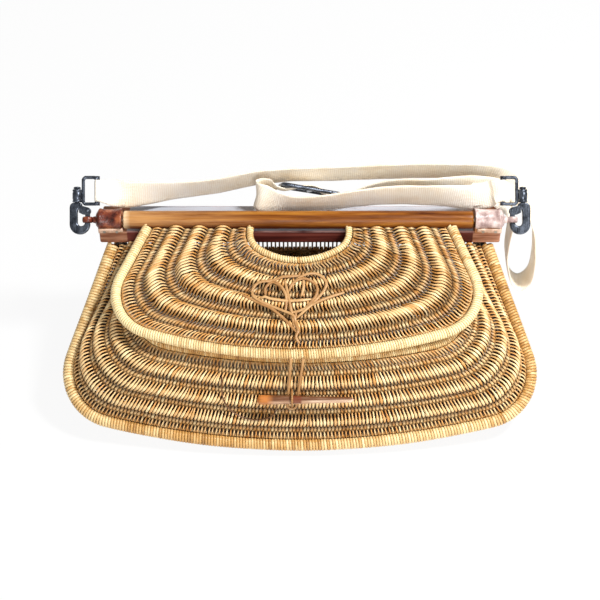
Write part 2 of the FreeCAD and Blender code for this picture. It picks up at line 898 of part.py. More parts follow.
def peg():
    start = on_wall(-size("peg_left"), size("peg_down"), peg_level)
    thick_end = size("peg_thick_radius")
    thin_end = size("peg_thin_radius")
    return Part.makeCone(thick_end, thin_end, size("peg_length"), start, Vector(1, 0, 0))


feature("toggle_peg", peg())


def swept(edges, radius):
    """A round cord or cane along lines and arcs."""
    wire = Part.Wire([edge.toShape() for edge in edges])
    first = wire.Edges[0]
    start = first.valueAt(first.FirstParameter)
    ring = Part.makeCircle(radius, start, first.tangentAt(first.FirstParameter))
    return wire.makePipeShell([Part.Wire(ring)], True, False)


def skin_level(down):
    """Height of the ridged wall in the middle of the front."""
    above_hoop = (collar_low[5] - hoop[5]).Length
    below_mouth = (collar_high[5] - mouth[5]).Length
    share = (wall_run.Length - down - above_hoop) / (wall_run.Length - above_hoop - below_mouth)
    k = max(i for i, step in enumerate(STEPS[:-1]) if step <= share * ROWS)
    part = (share * ROWS - STEPS[k]) / (STEPS[k + 1] - STEPS[k])
    lift = outer_lift(STEPS[k]) * (1 - part) + outer_lift(STEPS[k + 1]) * part
    return lift + 4 * share * (1 - share) * size("front_bulge")


def leg_end(down):
    """Where a leg of the staple meets the ridged wall."""
    reach = size("cane_radius")
    return max(skin_level(down + reach * share) for share in (-1, -0.5, 0, 0.5, 1)) + size("seam_gap")


keeper_ring = peg_at_keeper + size("keeper_gap") + size("cane_radius")


def keeper():
    """A bent cane staple round the peg, with both legs on the weave."""
    down = size("peg_down")
    high = down - keeper_ring
    low = down + keeper_ring
    above = [on_wall(keeper_x, high, level) for level in (leg_end(high), peg_level)]
    below = [on_wall(keeper_x, low, level) for level in (peg_level, leg_end(low))]
    crown = on_wall(keeper_x, down, peg_level + keeper_ring)
    edges = [Part.LineSegment(*above), Part.Arc(above[1], crown, below[0])]
    return swept(edges + [Part.LineSegment(*below)], size("cane_radius"))


feature("peg_keeper", keeper())


def hasp():
    """A cane loop from the lid's front edge, round the staple and behind the peg."""
    half = size("hasp_half")
    cane = size("cane_radius")
    off_rim = size("lid_rim_radius") + cane + size("seam_gap")
    rim_front = lid_place([Vector(0, lid_reach, 0)], 0)[0]
    start = rim_front + Vector(0, wall_out.y, -wall_out.z) * off_rim
    middle = keeper_x + size("hasp_lean")
    wide = half + size("hasp_spread")
    tops = [Vector(middle + side * wide, start.y, start.z) for side in (-1, 1)]
    feet = [on_wall(keeper_x + side * half, size("hasp_drop"), hasp_level) for side in (-1, 1)]
    bend = on_wall(keeper_x, size("hasp_drop") + half, hasp_level)
    edges = [
        Part.LineSegment(tops[0], feet[0]),
        Part.Arc(feet[0], bend, feet[1]),
        Part.LineSegment(feet[1], tops[1]),
    ]
    return swept(edges, cane)


feature("hasp_loop", hasp())


def wall_place(x, down, out):
    """A place over the ridges of the bowed front: across, down from the mouth and out."""
    share = 1 - down / wall_run.Length
    row = collar_row(share, size("ridge_rise") + half_weave + out)
    first = 3 if x < 0 else 5
    arc = Part.Arc(*row[first : first + 3]).toShape()
    low, high = arc.ParameterRange
    for _ in range(40):
        middle = (low + high) / 2
        if arc.valueAt(middle).x < x:
            low = middle
        else:
            high = middle
    return arc.valueAt(low)


# Leash from the weave to the peg: shares of its slack across, down the wall and out
LEASH_SHARES = [
    (-1.1, 0.25, 0.015),
    (-1.11, 0.45, 0.015),
    (-1.083, 0.667, 0.015),
    (-0.967, 0.842, 0.015),
    (-0.767, 0.95, 0.015),
    (-0.55, 0.958, 0.015),
    (-0.383, 0.867, 0.02),
    (-0.325, 0.74, 0.05),
]
slack = size("leash_slack")
leash_places = [wall_place(x * slack, down * slack, out * slack) for x, down, out in LEASH_SHARES]
peg_end = LEASH_SHARES[-1][0] * slack
peg_there = size("peg_thick_radius") - peg_taper * (size("peg_left") + peg_end)
leash_places.append(on_wall(peg_end, size("peg_down") + peg_there + size("seam_gap"), peg_level))


def cord_edges(points):
    """Straight runs joined by tangent arcs."""
    edges = []
    start = points[0]
    for before, point, after in zip(points, points[1:], points[2:]):
        runs = ((point - before).Length, (after - point).Length)
        into = (point - before).normalize()
        out = (after - point).normalize()
        turn = into.getAngle(out)
        back = 0.45 * min(runs)
        radius = back / math.tan(turn / 2)
        first = point - into * back
        last = point + out * back
        middle = (out - into).normalize()
        centre = point + middle * math.hypot(radius, back)
        edges.append(Part.LineSegment(start, first))
        edges.append(Part.Arc(first, centre - middle * radius, last))
        start = last
    edges.append(Part.LineSegment(start, points[-1]))
    return edges


leash_edges = cord_edges(leash_places)
leash = swept(leash_edges, size("leash_radius"))
leash_length = sum(edge.toShape().Length for edge in leash_edges)
print("leash length", round(leash_length, 1))
feature("peg_leash", leash)

# Snap hooks, drawn leaning back in their own frame
LEANED = Rotation(Vector(1, 0, 0), -size("hook_angle"))


def lean_place(obj, x, n, b, turn=None):
    """Put a primitive at a place in the leaning frame, given as expressions."""
    rotation = LEANED.multiply(turn) if turn else LEANED
    obj.Placement = Placement(Vector(), rotation)
    y = f"{BAR_Y} + ({n}) * cos({LEAN}) + ({b}) * sin({LEAN})"
    z = f"{BAR_Z} - ({n}) * sin({LEAN}) + ({b}) * cos({LEAN})"
    place(obj, x, y, z)
    return obj


def lean_box(name, side, u_low, u_high, b_low, b_high, thick_half):
    """A plate in the hook's plane; u runs outwards from the hook's middle."""
    obj = doc.addObject("Part::Box", name)
    obj.setExpression("Length", f"({u_high}) - ({u_low})")
    obj.setExpression("Width", f"2 * ({thick_half})")
    obj.setExpression("Height", f"({b_high}) - ({b_low})")
    x = f"{HOOK_X} + ({u_low})" if side > 0 else f"-({HOOK_X} + ({u_high}))"
    return lean_place(obj, x, f"-({thick_half})", b_low)


def lean_disc(name, side, u, b, radius, thick_half):
    """A disc through the hook's thickness."""
    obj = doc.addObject("Part::Cylinder", name)
    obj.setExpression("Radius", radius)
    obj.setExpression("Height", f"2 * ({thick_half})")
    x = signed(side, f"{HOOK_X} + ({u})")
    return lean_place(obj, x, f"-({thick_half})", b, ALONG_Y)


def lean_post(name, side, u, b, radius, length):
    """A round post along the hook."""
    obj = doc.addObject("Part::Cylinder", name)
    obj.setExpression("Radius", radius)
    obj.setExpression("Height", length)
    x = signed(side, f"{HOOK_X} + ({u})")
    return lean_place(obj, x, "0", b)


HALF = "Sizes.hook_thick / 2"
LIMB = "(-(Sizes.hook_half + Sizes.limb_inner) / 2)"


def snap_hook(name, side):
    """Hook, sprung gate and swivelling strap frame at one end of the strap."""
    half = cell("hook_half")
    bend = f"({half} - Sizes.hook_low)"
    low = [
        lean_box(name + "_side", side, f"-{half}", half, bend, cell("hook_shoulder"), HALF),
        lean_disc(name + "_bend", side, "0", bend, half, HALF),
        lean_box(
            name + "_head",
            side,
            "-Sizes.spine_inner",
            half,
            cell("hook_shoulder"),
            cell("hook_head"),
            HALF,
        ),
        lean_post(
            name + "_shank",
            side,
            cell("barrel_out"),
            "Sizes.hook_head - Sizes.button_thick",
            cell("shank_radius"),
            "Sizes.barrel_length + 2 * Sizes.gate_gap + Sizes.button_thick",
        ),
        lean_post(
            name + "_button",
            side,
            cell("barrel_out"),
            "Sizes.hook_head + Sizes.barrel_length + 2 * Sizes.gate_gap",
            cell("button_radius"),
            cell("button_thick"),
        ),
    ]
    eye_half = "((Sizes.spine_inner + Sizes.limb_inner) / 2)"
    eye_mid = "((Sizes.spine_inner - Sizes.limb_inner) / 2)"
    over = "(Sizes.hook_thick)"
    limb_low = f"-{half} - Sizes.gate_gap"
    holes = [
        lean_box(
            name + "_eye",
            side,
            "-Sizes.limb_inner",
            cell("spine_inner"),
            f"{eye_half} - Sizes.eye_low",
            cell("eye_high"),
            over,
        ),
        lean_disc(name + "_eye_end", side, eye_mid, f"{eye_half} - Sizes.eye_low", eye_half, over),
        lean_box(
            name + "_gateway",
            side,
            limb_low,
            "-Sizes.limb_inner + Sizes.gate_gap",
            "-Sizes.tip_high",
            cell("fork_low"),
            over,
        ),
        lean_box(
            name + "_fork",
            side,
            limb_low,
            "-Sizes.spine_inner",
            "Sizes.fork_low - Sizes.gate_gap",
            "Sizes.hook_shoulder + Sizes.gate_gap",
            "Sizes.gate_thick / 2 + Sizes.gate_gap / 2",
        ),
    ]
    plate = cut(name + "_plate", fuse(name + "_solid", low), fuse(name + "_holes", holes))
    pivot = lean_disc(
        name + "_pivot", side, LIMB, cell("gate_pivot"), cell("gate_pin_radius"), HALF
    )
    keep(fuse(name + "_hook", [plate, pivot]), name + "_hook")

    gate_half = "((Sizes.hook_half - Sizes.limb_inner) / 2 - Sizes.gate_gap / 2)"
    gate_thick = "Sizes.gate_thick / 2"
    gate_body = [
        lean_box(
            name + "_gate_bar",
            side,
            f"{LIMB} - {gate_half}",
            f"{LIMB} + {gate_half}",
            "-Sizes.tip_high + Sizes.gate_gap",
            cell("gate_pivot"),
            gate_thick,
        ),
        lean_disc(name + "_gate_head", side, LIMB, cell("gate_pivot"), gate_half, gate_thick),
    ]
    gate_bore = lean_disc(
        name + "_gate_bore",
        side,
        LIMB,
        cell("gate_pivot"),
        "Sizes.gate_pin_radius + Sizes.running_gap",
        cell("hook_thick"),
    )
    gate = cut(name + "_gate", fuse(name + "_gate_solid", gate_body), gate_bore)
    keep(gate, name + "_gate")

    bar = cell("frame_bar")
    bar_half = "Sizes.frame_bar / 2"
    riser_low = "Sizes.hook_head + Sizes.gate_gap"
    riser_u = "(Sizes.barrel_out - Sizes.barrel_radius)"
    frame_parts = [
        lean_post(
            name + "_barrel",
            side,
            cell("barrel_out"),
            riser_low,
            cell("barrel_radius"),
            cell("barrel_length"),
        ),
        lean_box(
            name + "_riser",
            side,
            f"{riser_u} - {bar}",
            f"{riser_u} + Sizes.gate_gap",
            riser_low,
            cell("frame_high"),
            bar_half,
        ),
        lean_box(
            name + "_top_bar",
            side,
            f"-{cell('frame_inner')}",
            f"{riser_u} + Sizes.gate_gap",
            f"{cell('frame_high')} - {bar}",
            cell("frame_high"),
            bar_half,
        ),
        lean_box(
            name + "_low_bar",
            side,
            f"-{cell('frame_inner')}",
            f"{riser_u} - {bar} + Sizes.gate_gap",
            cell("frame_low"),
            f"{cell('frame_low')} + {bar} + 2 * Sizes.gate_gap",
            bar_half,
        ),
        lean_box(
            name + "_corner",
            side,
            f"{riser_u} - {bar}",
            f"{riser_u} + Sizes.gate_gap",
            riser_low,
            f"{riser_low} + {bar}",
            bar_half,
        ),
        lean_post(
            name + "_strap_bar",
            side,
            f"-{cell('frame_inner')}",
            cell("frame_low"),
            bar_half,
            f"{cell('frame_high')} - {cell('frame_low')}",
        ),
    ]
    frame_bore = lean_post(
        name + "_frame_bore",
        side,
        cell("barrel_out"),
        cell("hook_head"),
        "Sizes.shank_radius + Sizes.running_gap",
        "Sizes.barrel_length + Sizes.hook_thick",
    )
    frame = cut(name + "_frame", fuse(name + "_frame_solid", frame_parts), frame_bore)
    keep(frame, name + "_frame")


snap_hook("left", -1)
snap_hook("right", 1)

# Strap: a cotton web on edge behind the bar, folded back twice over its right half
# Each row: across, back from the bar and up from it, as shares of the hooks' reach,
# the board's depth and the web's width, then the web's tilt and its width share
OUTWARD_SHARES = [
    (-0.857, 0.46, 0.66, 50, 0.92),
    (-0.79, 0.5, 0.54, 76, 1.0),
    (-0.673, 0.61, 0.5, 95, 1.0),
    (-0.569, 0.7, 0.5, 106, 1.0),
    (-0.469, 0.79, 0.49, 112, 1.0),
    (-0.336, 0.89, 0.56, 113, 1.0),
    (-0.207, 1.0, 0.69, 115, 1.0),
    (-0.069, 1.11, 0.7, 117, 1.0),
    (0.116, 1.21, 0.65, 116, 1.0),
    (0.302, 1.26, 0.65, 115, 1.0),
    (0.496, 1.29, 0.69, 114, 1.0),
    (0.696, 1.29, 0.68, 113, 1.0),
    (0.858, 1.24, 0.62, 103, 1.0),
    (0.98, 1.17, 0.28, 76, 1.0),
    (1.063, 1.13, -0.4, 48, 1.0),
    (1.1, 1.12, -1.2, 28, 1.0),
    (1.122, 1.13, -2.22, 12, 1.0),
    (1.133, 1.15, -3.29, 4, 1.0),
    (1.119, 1.17, -4.0, 0, 1.0),
    (1.075, 1.18, -4.33, 0, 1.0),
    (1.026, 1.18, -3.9, 0, 1.0),
    (0.998, 1.16, -2.85, 4, 1.0),
    (0.995, 1.08, -1.81, 15, 1.0),
    (0.992, 0.97, -0.78, 35, 1.0),
    (0.93, 0.87, 0.12, 65, 1.0),
    (0.8, 0.82, 0.48, 88, 1.0),
    (0.69, 0.82, 0.49, 98, 1.0),
    (0.585, 0.82, 0.46, 104, 1.0),
    (0.432, 0.82, 0.48, 110, 1.0),
    (0.3, 0.82, 0.3, 122, 1.0),
]
INWARD_SHARES = [
    (-0.13, 0.81, 0.58, 126, 1.0),
    (-0.168, 0.75, 0.56, 104, 1.0),
    (-0.19, 0.65, 0.52, 80, 1.0),
    (-0.193, 0.53, 0.5, 64, 1.0),
    (-0.17, 0.43, 0.44, 68, 1.0),
    (-0.115, 0.39, 0.3, 88, 1.0),
    (-0.03, 0.38, 0.22, 106, 1.0),
    (0.09, 0.38, 0.29, 112, 1.0),
    (0.187, 0.39, 0.39, 110, 1.0),
    (0.292, 0.42, 0.5, 108, 1.0),
    (0.433, 0.45, 0.56, 104, 1.0),
    (0.56, 0.45, 0.56, 102, 1.0),
    (0.68, 0.45, 0.52, 96, 1.0),
    (0.78, 0.45, 0.46, 82, 1.0),
    (0.857, 0.45, 0.58, 58, 0.9),
]
# Stretches of the web at the buckle: under both end bars and over the middle one
BUCKLE_SHARES = [(0.54, -1), (0.38, -1), (0.09, 1), (-0.09, 1), (-0.38, -1), (-0.54, -1)]


def station(row):
    """Middle of the web, the direction across it and half its width."""
    x, back, up, tilt, width = row
    rise = Vector(0, back * size("board_depth"), up * size("strap_width"))
    centre = Vector(x * hook_x, bar_y, bar_z) + rise
    turn = math.radians(tilt)
    across = Vector(0, math.cos(turn), math.sin(turn))
    return centre, across, size("strap_width") / 2 * width


buckle_turn = Rotation(Vector(0, 1, 0), size("buckle_dip_angle")).multiply(
    Rotation(Vector(1, 0, 0), size("buckle_tilt_angle") - 90)
)
buckle_middle = Vector(
    size("buckle_right"), bar_y + size("buckle_back"), bar_z + size("buckle_rise")
)


def buckle_station(share, side):
    off = (size("buckle_thick") + size("strap_thick")) / 2 + size("buckle_clear")
    shift = Vector(share * size("buckle_length"), side * off, 0)
    centre = buckle_middle + buckle_turn.multVec(shift)
    return centre, buckle_turn.multVec(Vector(0, 0, 1)), size("strap_width") / 2


# The web ends in a sleeve round each frame's inner bar
sleeve_bore = size("frame_bar") / 2 + size("buckle_clear")
sleeve_low = size("frame_low") + size("frame_bar") + 3 * size("gate_gap")
sleeve_high = size("frame_high") - size("frame_bar") - size("gate_gap")


def end_station(side):
    x = hook_x - size("frame_inner") - sleeve_bore - size("strap_thick") / 2
    middle = (sleeve_low + sleeve_high) / 2
    across = Vector(0, math.sin(lean), math.cos(lean))
    centre = Vector(side * x, bar_y, bar_z) + across * middle
    return centre, across, (sleeve_high - sleeve_low) / 2 - size("strap_thick") / 4


def sleeve(side):
    base = Vector(side * (hook_x - size("frame_inner")), bar_y, bar_z)
    direction = Vector(0, math.sin(lean), math.cos(lean))
    base += direction * sleeve_low
    length = sleeve_high - sleeve_low
    outer = Part.makeCylinder(sleeve_bore + size("strap_thick"), length, base, direction)
    return outer.cut(Part.makeCylinder(sleeve_bore, length, base, direction))


def webbing():
    stations = [end_station(-1)]
    stations += [station(row) for row in OUTWARD_SHARES]
    stations += [buckle_station(share, side) for share, side in BUCKLE_SHARES]
    stations += [station(row) for row in INWARD_SHARES]
    stations.append(end_station(1))
    last = len(stations) - 1
    sections = []
    for i, (centre, across, half) in enumerate(stations):
        along = stations[min(i + 1, last)][0] - stations[max(i - 1, 0)][0]
        face = along.cross(across).normalize() * (size("strap_thick") / 2)
        edge = across * half
        corners = [centre + edge + face, centre + edge - face]
        corners += [centre - edge - face, centre - edge + face]
        sections.append(Part.makePolygon(corners + corners[:1]))
    web = Part.makeLoft(sections, True, True)
    return web.fuse([sleeve(-1), sleeve(1)])


feature("strap_webbing", webbing())


def slide_buckle():
    """A flat two-slot buckle that the web is threaded through."""
    length = size("buckle_length")
    width = size("buckle_width")
    deep = size("buckle_thick")
    bar = size("buckle_bar")
    slot = (length - 3 * bar) / 2
    gap = width - bar
    plate = Part.makeBox(length, deep, width, Vector(-length / 2, -deep / 2, -width / 2))
    plate = plate.makeFillet(size("buckle_round"), plate.Edges)
    for start in (bar / 2 - length / 2 + bar / 2, bar / 2):
        hole = Part.makeBox(slot, 2 * deep, gap, Vector(start, -deep, -gap / 2))
        plate = plate.cut(hole)
    plate.Placement = Placement(buckle_middle, buckle_turn)
    return plate


feature("slide_buckle", slide_buckle())

doc.recompute()
for obj in doc.Objects:
    if "Invalid" in obj.State or "Error" in obj.State:
        raise RuntimeError(f"{obj.Label} failed")
os.makedirs("parts", exist_ok=True)
for obj in PARTS:
    if obj.Shape.isNull() or not obj.Shape.isValid():
        raise RuntimeError(f"{obj.Label} has no sound shape")
    obj.Shape.exportStep(f"parts/{obj.Label}.step")
print(len(PARTS), "sub-parts written")
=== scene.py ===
from math import asin, atan2, cos, hypot, pi, radians, sin, sqrt

import bpy
import numpy as np
from mathutils import Matrix, Vector


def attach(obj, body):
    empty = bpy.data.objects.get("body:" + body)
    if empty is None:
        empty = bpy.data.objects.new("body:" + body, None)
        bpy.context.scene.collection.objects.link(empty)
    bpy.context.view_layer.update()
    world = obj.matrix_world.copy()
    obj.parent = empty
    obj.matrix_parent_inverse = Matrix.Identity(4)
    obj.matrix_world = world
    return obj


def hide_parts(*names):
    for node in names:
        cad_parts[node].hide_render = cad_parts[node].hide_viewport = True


# Wicker fishing creel: X along the board, -Y the front, +Z up, as in the CAD frame.
# Sizes are in millimetres; MM turns them into metres where a mesh or curve is made.
MM = 0.001
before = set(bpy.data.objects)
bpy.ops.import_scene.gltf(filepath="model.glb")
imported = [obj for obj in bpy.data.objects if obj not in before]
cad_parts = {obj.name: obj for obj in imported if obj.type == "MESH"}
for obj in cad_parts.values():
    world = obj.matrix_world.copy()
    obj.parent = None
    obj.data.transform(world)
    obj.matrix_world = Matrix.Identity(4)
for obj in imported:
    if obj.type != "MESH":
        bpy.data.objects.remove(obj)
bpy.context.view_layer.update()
rng = np.random.default_rng(7)

# Main sizes, as in the CAD model
BAR_Y, BAR_Z, BAR_R, BAR_LONG = 53.0, 139.4, 8.0, 308
BOARD_HALF, BOARD_FRONT, BOARD_BACK, BOARD_FOOT, BOARD_TOP = 177.5, 47, 85, 118, 131
BLOCK_IN = 154.0
HOOP_Y, HOOP_Z, HOOP_FRONT_Z, HOOP_REACH, HOOP_R = 50.0, 113.4, 9.4, 179, 5.3
MOUTH_Y, MOUTH_Z, MOUTH_FRONT_Y, MOUTH_FRONT_Z, MOUTH_R = 50.0, 114.0, -67, 84, 3.5
BACK_Y, FLOOR_Z, WALL_TOP = 81, 4.2, 117.8
LID_ABOVE, LID_RIM_R, SLOT_RIM_R = 8.72, 4.5, 3.2
HOOK_X, GATE_X, SWIVEL_X, WEB_BAR_X = 194, 187.25, 196.5, 178
WEB_WIDE = 25.4
PEG_LONG, PEG_BIG, PEG_SMALL, PEG_DOWN = 82, 4.2, 2.3, 31.5

# The plane of hooks and frames leans back by this angle
LEAN = radians(41)
ALONG = np.array([0, sin(LEAN), cos(LEAN)])
THROUGH = np.array([0, cos(LEAN), -sin(LEAN)])
RIGHT, BACK, UP = np.eye(3)

# Camera at the photograph's place
CAMERA_AT = Vector((0, -0.9446, 0.9129))
AIM = Vector((0, 0.0365, 0.06))
camera_data = bpy.data.cameras.new("camera")
camera_data.sensor_width = 36
camera_data.lens = 85.74
camera_data.clip_start = 0.02
camera = bpy.data.objects.new("camera", camera_data)
bpy.context.collection.objects.link(camera)
camera.location = CAMERA_AT
camera.rotation_euler = (AIM - CAMERA_AT).to_track_quat("-Z", "Y").to_euler()
bpy.context.scene.camera = camera
bpy.context.scene.view_settings.view_transform = "Standard"


# Shader helpers
class Shader:
    """A procedural material built up node by node."""

    def __init__(self, name, roughness=0.5, **sockets):
        self.material = bpy.data.materials.new(name)
        self.material.use_nodes = True
        self.tree = self.material.node_tree
        self.bsdf = self.tree.nodes["Principled BSDF"]
        self.bsdf.inputs["Roughness"].default_value = roughness
        for key, value in sockets.items():
            self.bsdf.inputs[key.replace("_", " ")].default_value = value
        self.coords = self.node("ShaderNodeTexCoord").outputs["Object"]

    def node(self, kind, **inputs):
        made = self.tree.nodes.new(kind)
        for key, value in inputs.items():
            self.feed(made.inputs[key.replace("_", " ")], value)
        return made

    def feed(self, socket, value):
        if isinstance(value, bpy.types.NodeSocket):
            self.tree.links.new(value, socket)
        else:
            socket.default_value = value

    def axis(self, letter):
        return self.node("ShaderNodeSeparateXYZ", Vector=self.coords).outputs[letter]

    def stretched(self, x, y, z):
        return self.node("ShaderNodeMapping", Vector=self.coords, Scale=(x, y, z)).outputs[0]

    def noise(self, scale, detail=4, roughness=0.55, vector=None, distortion=0.0):
        made = self.node("ShaderNodeTexNoise", Vector=vector or self.coords, Scale=scale, Detail=detail)
        made.inputs["Roughness"].default_value = roughness
        made.inputs["Distortion"].default_value = distortion
        return made.outputs["Fac"]

    def attribute(self, name):
        made = self.tree.nodes.new("ShaderNodeAttribute")
        made.attribute_name = name
        return made.outputs["Fac"]

    def ramp(self, fac, *stops):
        made = self.node("ShaderNodeValToRGB", Fac=fac)
        elements = made.color_ramp.elements
        while len(elements) < len(stops):
            elements.new(0.5)
        for element, (place, colour) in zip(elements, stops):
            element.position = place
            element.color = (*colour, 1)
        return made.outputs["Color"]

    def level(self, fac, low, high, to_low=0.0, to_high=1.0):
        """A value between low and high, mapped to another range and clamped."""
        made = self.node("ShaderNodeMapRange")
        for socket, value in zip(made.inputs, (fac, low, high, to_low, to_high)):
            self.feed(socket, value)
        return made.outputs[0]

    def math(self, kind, a, b=0.5):
        made = self.tree.nodes.new("ShaderNodeMath")
        made.operation = kind
        self.feed(made.inputs[0], a)
        self.feed(made.inputs[1], b)
        return made.outputs[0]

    def times(self, a, b):
        return self.math("MULTIPLY", a, b)

    def colour(self, value):
        self.base = value
        self.feed(self.bsdf.inputs["Base Color"], value)

    def over(self, fac, value):
        """Lay a colour over the one that is there."""
        made = self.tree.nodes.new("ShaderNodeMix")
        made.data_type = "RGBA"
        self.feed(made.inputs["Factor"], fac)
        self.feed(made.inputs[6], self.base)
        self.feed(made.inputs[7], (*value, 1) if isinstance(value, tuple) else value)
        self.colour(made.outputs[2])

    def rough(self, value):
        self.feed(self.bsdf.inputs["Roughness"], value)

    def bump(self, height, strength, distance):
        made = self.node("ShaderNodeBump", Height=height, Strength=strength, Distance=distance)
        self.feed(self.bsdf.inputs["Normal"], made.outputs[0])
        return self.material


def wicker_material(name, dark, middle, light, low, roughness=0.36):
    """Split cane: each strand has its own tone, with random dark spots; hollows, undersides and inner faces
    are darkened by the lift attribute as painted shade, and crests are paled as painted highlight.
    """
    s = Shader(name, roughness)
    streak = s.noise(90, 5, 0.65)
    grain = s.noise(900, 3, 0.6)
    tone = s.math("ADD", s.times(s.attribute("tone"), 0.62), s.times(streak, 0.42))
    s.colour(s.ramp(tone, (0.18, dark), (0.46, middle), (0.8, light)))
    spots = s.level(s.noise(260, 3, 0.7), 0.62, 0.75)
    s.over(s.times(spots, 0.55), low)
    # Painted shade: a low lift darkens the strand towards the low colour.
    s.over(s.level(s.attribute("lift"), -0.9, 0.55, 1.0, 0.0), low)
    s.rough(s.level(grain, 0.3, 0.7, roughness - 0.08, roughness + 0.16))
    return s.bump(s.math("ADD", grain, streak), 0.25, 0.0002)


def wood_material(name, dark, middle, light, rough, across, scale=1.0):
    """Straight grain along X with darker figure."""
    s = Shader(name, rough, Specular_IOR_Level=0.25)
    lines = s.noise(38 * scale, 6, 0.62, s.stretched(0.22, across, across), 0.6)
    fine = s.noise(420 * scale, 4, 0.6, s.stretched(0.06, 1, 1))
    tone = s.math("ADD", s.times(lines, 0.72), s.times(fine, 0.28))
    s.colour(s.ramp(tone, (0.36, dark), (0.5, middle), (0.64, light)))
    return s, fine


def bar_material():
    """Faded towards the left, bare at that end, with painted shade along the underside, and blotted."""
    s, fine = wood_material(
        "bar_wood", (0.075, 0.016, 0.002), (0.22, 0.064, 0.005), (0.42, 0.165, 0.02), 0.3, 2.6
    )
    faded = s.times(s.level(s.axis("X"), -150 * MM, -30 * MM, 0.6, 0.0), s.level(fine, 0.2, 0.6))
    s.over(faded, (0.58, 0.32, 0.14))
    # Painted shade along the underside of the bar.
    under = s.level(s.axis("Z"), (BAR_Z - 3.2) * MM, (BAR_Z + 0.4) * MM, 0.92, 0.0)
    s.over(under, (0.1, 0.02, 0.008))
    worn = s.times(s.level(s.axis("X"), -149 * MM, -154.5 * MM), s.level(fine, 0.25, 0.6))
    s.over(worn, (0.88, 0.66, 0.4))
    blots = s.level(s.noise(55, 4, 0.6, s.stretched(0.5, 1, 1)), 0.6, 0.72)
    s.over(s.times(blots, 0.5), (0.16, 0.045, 0.01))
    s.rough(s.level(fine, 0.3, 0.7, 0.24, 0.42))
    return s.bump(fine, 0.25, 0.0003)


def board_material():
    """Dark red, with a painted pinkish highlight along the top edges, a painted grey-blue reflection on top
    and pale ends under the blocks.
    """
    s, fine = wood_material(
        "board_wood", (0.035, 0.006, 0.005), (0.1, 0.018, 0.012), (0.2, 0.05, 0.035), 0.34, 3.0
    )
    height = s.axis("Z")
    # Painted highlight: a broken pinkish line along the top edges.
    edge = s.level(height, (BOARD_TOP - 1.3) * MM, (BOARD_TOP - 0.4) * MM)
    edge = s.times(edge, s.level(s.noise(30, 3), 0.4, 0.6))
    s.over(s.times(edge, 0.75), (0.62, 0.36, 0.32))
    # Painted reflection: the top face is grey-blue.
    top = s.level(height, (BOARD_TOP - 0.1) * MM, (BOARD_TOP - 0.02) * MM)
    s.over(s.times(top, s.level(fine, 0.25, 0.5, 0.45, 0.95)), (0.5, 0.52, 0.57))
    ends = s.level(s.math("ABSOLUTE", s.axis("X")), (BLOCK_IN - 1.5) * MM, (BLOCK_IN - 0.5) * MM)
    s.over(ends, s.ramp(fine, (0.35, (0.2, 0.06, 0.025)), (0.65, (0.55, 0.27, 0.16))))
    return s.bump(fine, 0.3, 0.0003)


def peg_material():
    """Dark on top, rubbed at the keeper and fresh orange wood at the thick end."""
    s, fine = wood_material(
        "peg_wood", (0.22, 0.1, 0.05), (0.52, 0.31, 0.19), (0.86, 0.64, 0.46), 0.5, 1.6, 2.0
    )
    across, height = s.axis("X"), s.axis("Z")
    top = s.times(s.level(height, 60.4 * MM, 61.7 * MM), s.level(fine, 0.2, 0.5, 0.6, 1.0))
    s.over(top, (0.13, 0.045, 0.014))
    middle = s.level(s.math("ABSOLUTE", s.math("ADD", across, 3 * MM)), 5 * MM, 3.5 * MM)
    rubbed = s.times(middle, s.level(height, 57.5 * MM, 59.2 * MM, 0.0, 0.85))
    s.over(rubbed, (0.16, 0.035, 0.012))
    fresh = s.times(s.level(across, -22 * MM, -28 * MM), s.level(fine, 0.3, 0.5))
    s.over(fresh, (0.5, 0.17, 0.035))
    return s.bump(fine, 0.35, 0.0003)


def block_material():
    s, fine = wood_material(
        "block_wood", (0.2, 0.06, 0.02), (0.5, 0.22, 0.09), (0.74, 0.42, 0.24), 0.45, 1.6, 2.0
    )
    return s.bump(fine, 0.35, 0.0003)


def leather_material(name, dark, middle, light, rough):
    s = Shader(name, rough)
    pores = s.noise(1400, 3, 0.6)
    s.colour(s.ramp(s.noise(120, 5, 0.6), (0.32, dark), (0.5, middle), (0.68, light)))
    s.over(s.level(pores, 0.55, 0.7, 0, 0.35), dark)
    cracks = s.node("ShaderNodeTexVoronoi", Vector=s.coords, Scale=700.0).outputs["Distance"]
    s.rough(s.level(pores, 0.3, 0.7, rough - 0.06, rough + 0.14))
    return s.bump(s.math("ADD", cracks, pores), 0.35, 0.0003)


def metal_material(name, dark, light, rough):
    s = Shader(name, rough, Metallic=0.85)
    scratch = s.noise(1200, 2, 0.5, s.stretched(1, 0.15, 0.15))
    s.colour(s.ramp(s.noise(160, 5, 0.6), (0.35, dark), (0.65, light)))
    s.rough(s.level(scratch, 0.3, 0.7, rough - 0.08, rough + 0.18))
    return s.bump(scratch, 0.12, 0.0002)


def webbing_material():
    """Cotton web: warp cords along it and picks across it."""
    s = Shader("webbing", 0.82, Sheen_Weight=0.25)
    uv = s.tree.nodes.new("ShaderNodeUVMap")
    uv.uv_map = "cloth"
    waves = []
    for direction, scale, distortion in (("Y", 220.0, 0.6), ("X", 170.0, 0.9)):
        wave = s.node("ShaderNodeTexWave", Vector=uv.outputs[0], Scale=scale, Distortion=distortion)
        wave.bands_direction = direction
        waves.append(wave.outputs["Fac"])
    cloth = s.times(*waves)
    soil = s.noise(32, 5, 0.6)
    s.colour(s.ramp(soil, (0.3, (0.93, 0.8, 0.6)), (0.5, (1.0, 0.93, 0.79)), (0.72, (1.0, 0.97, 0.9))))
    # Painted shade: the low places between the cords are darkened to warm brown.
    s.over(s.level(cloth, 0.0, 0.5, 0.3, 0.0), (0.72, 0.52, 0.32))
    return s.bump(cloth, 0.6, 0.0004)


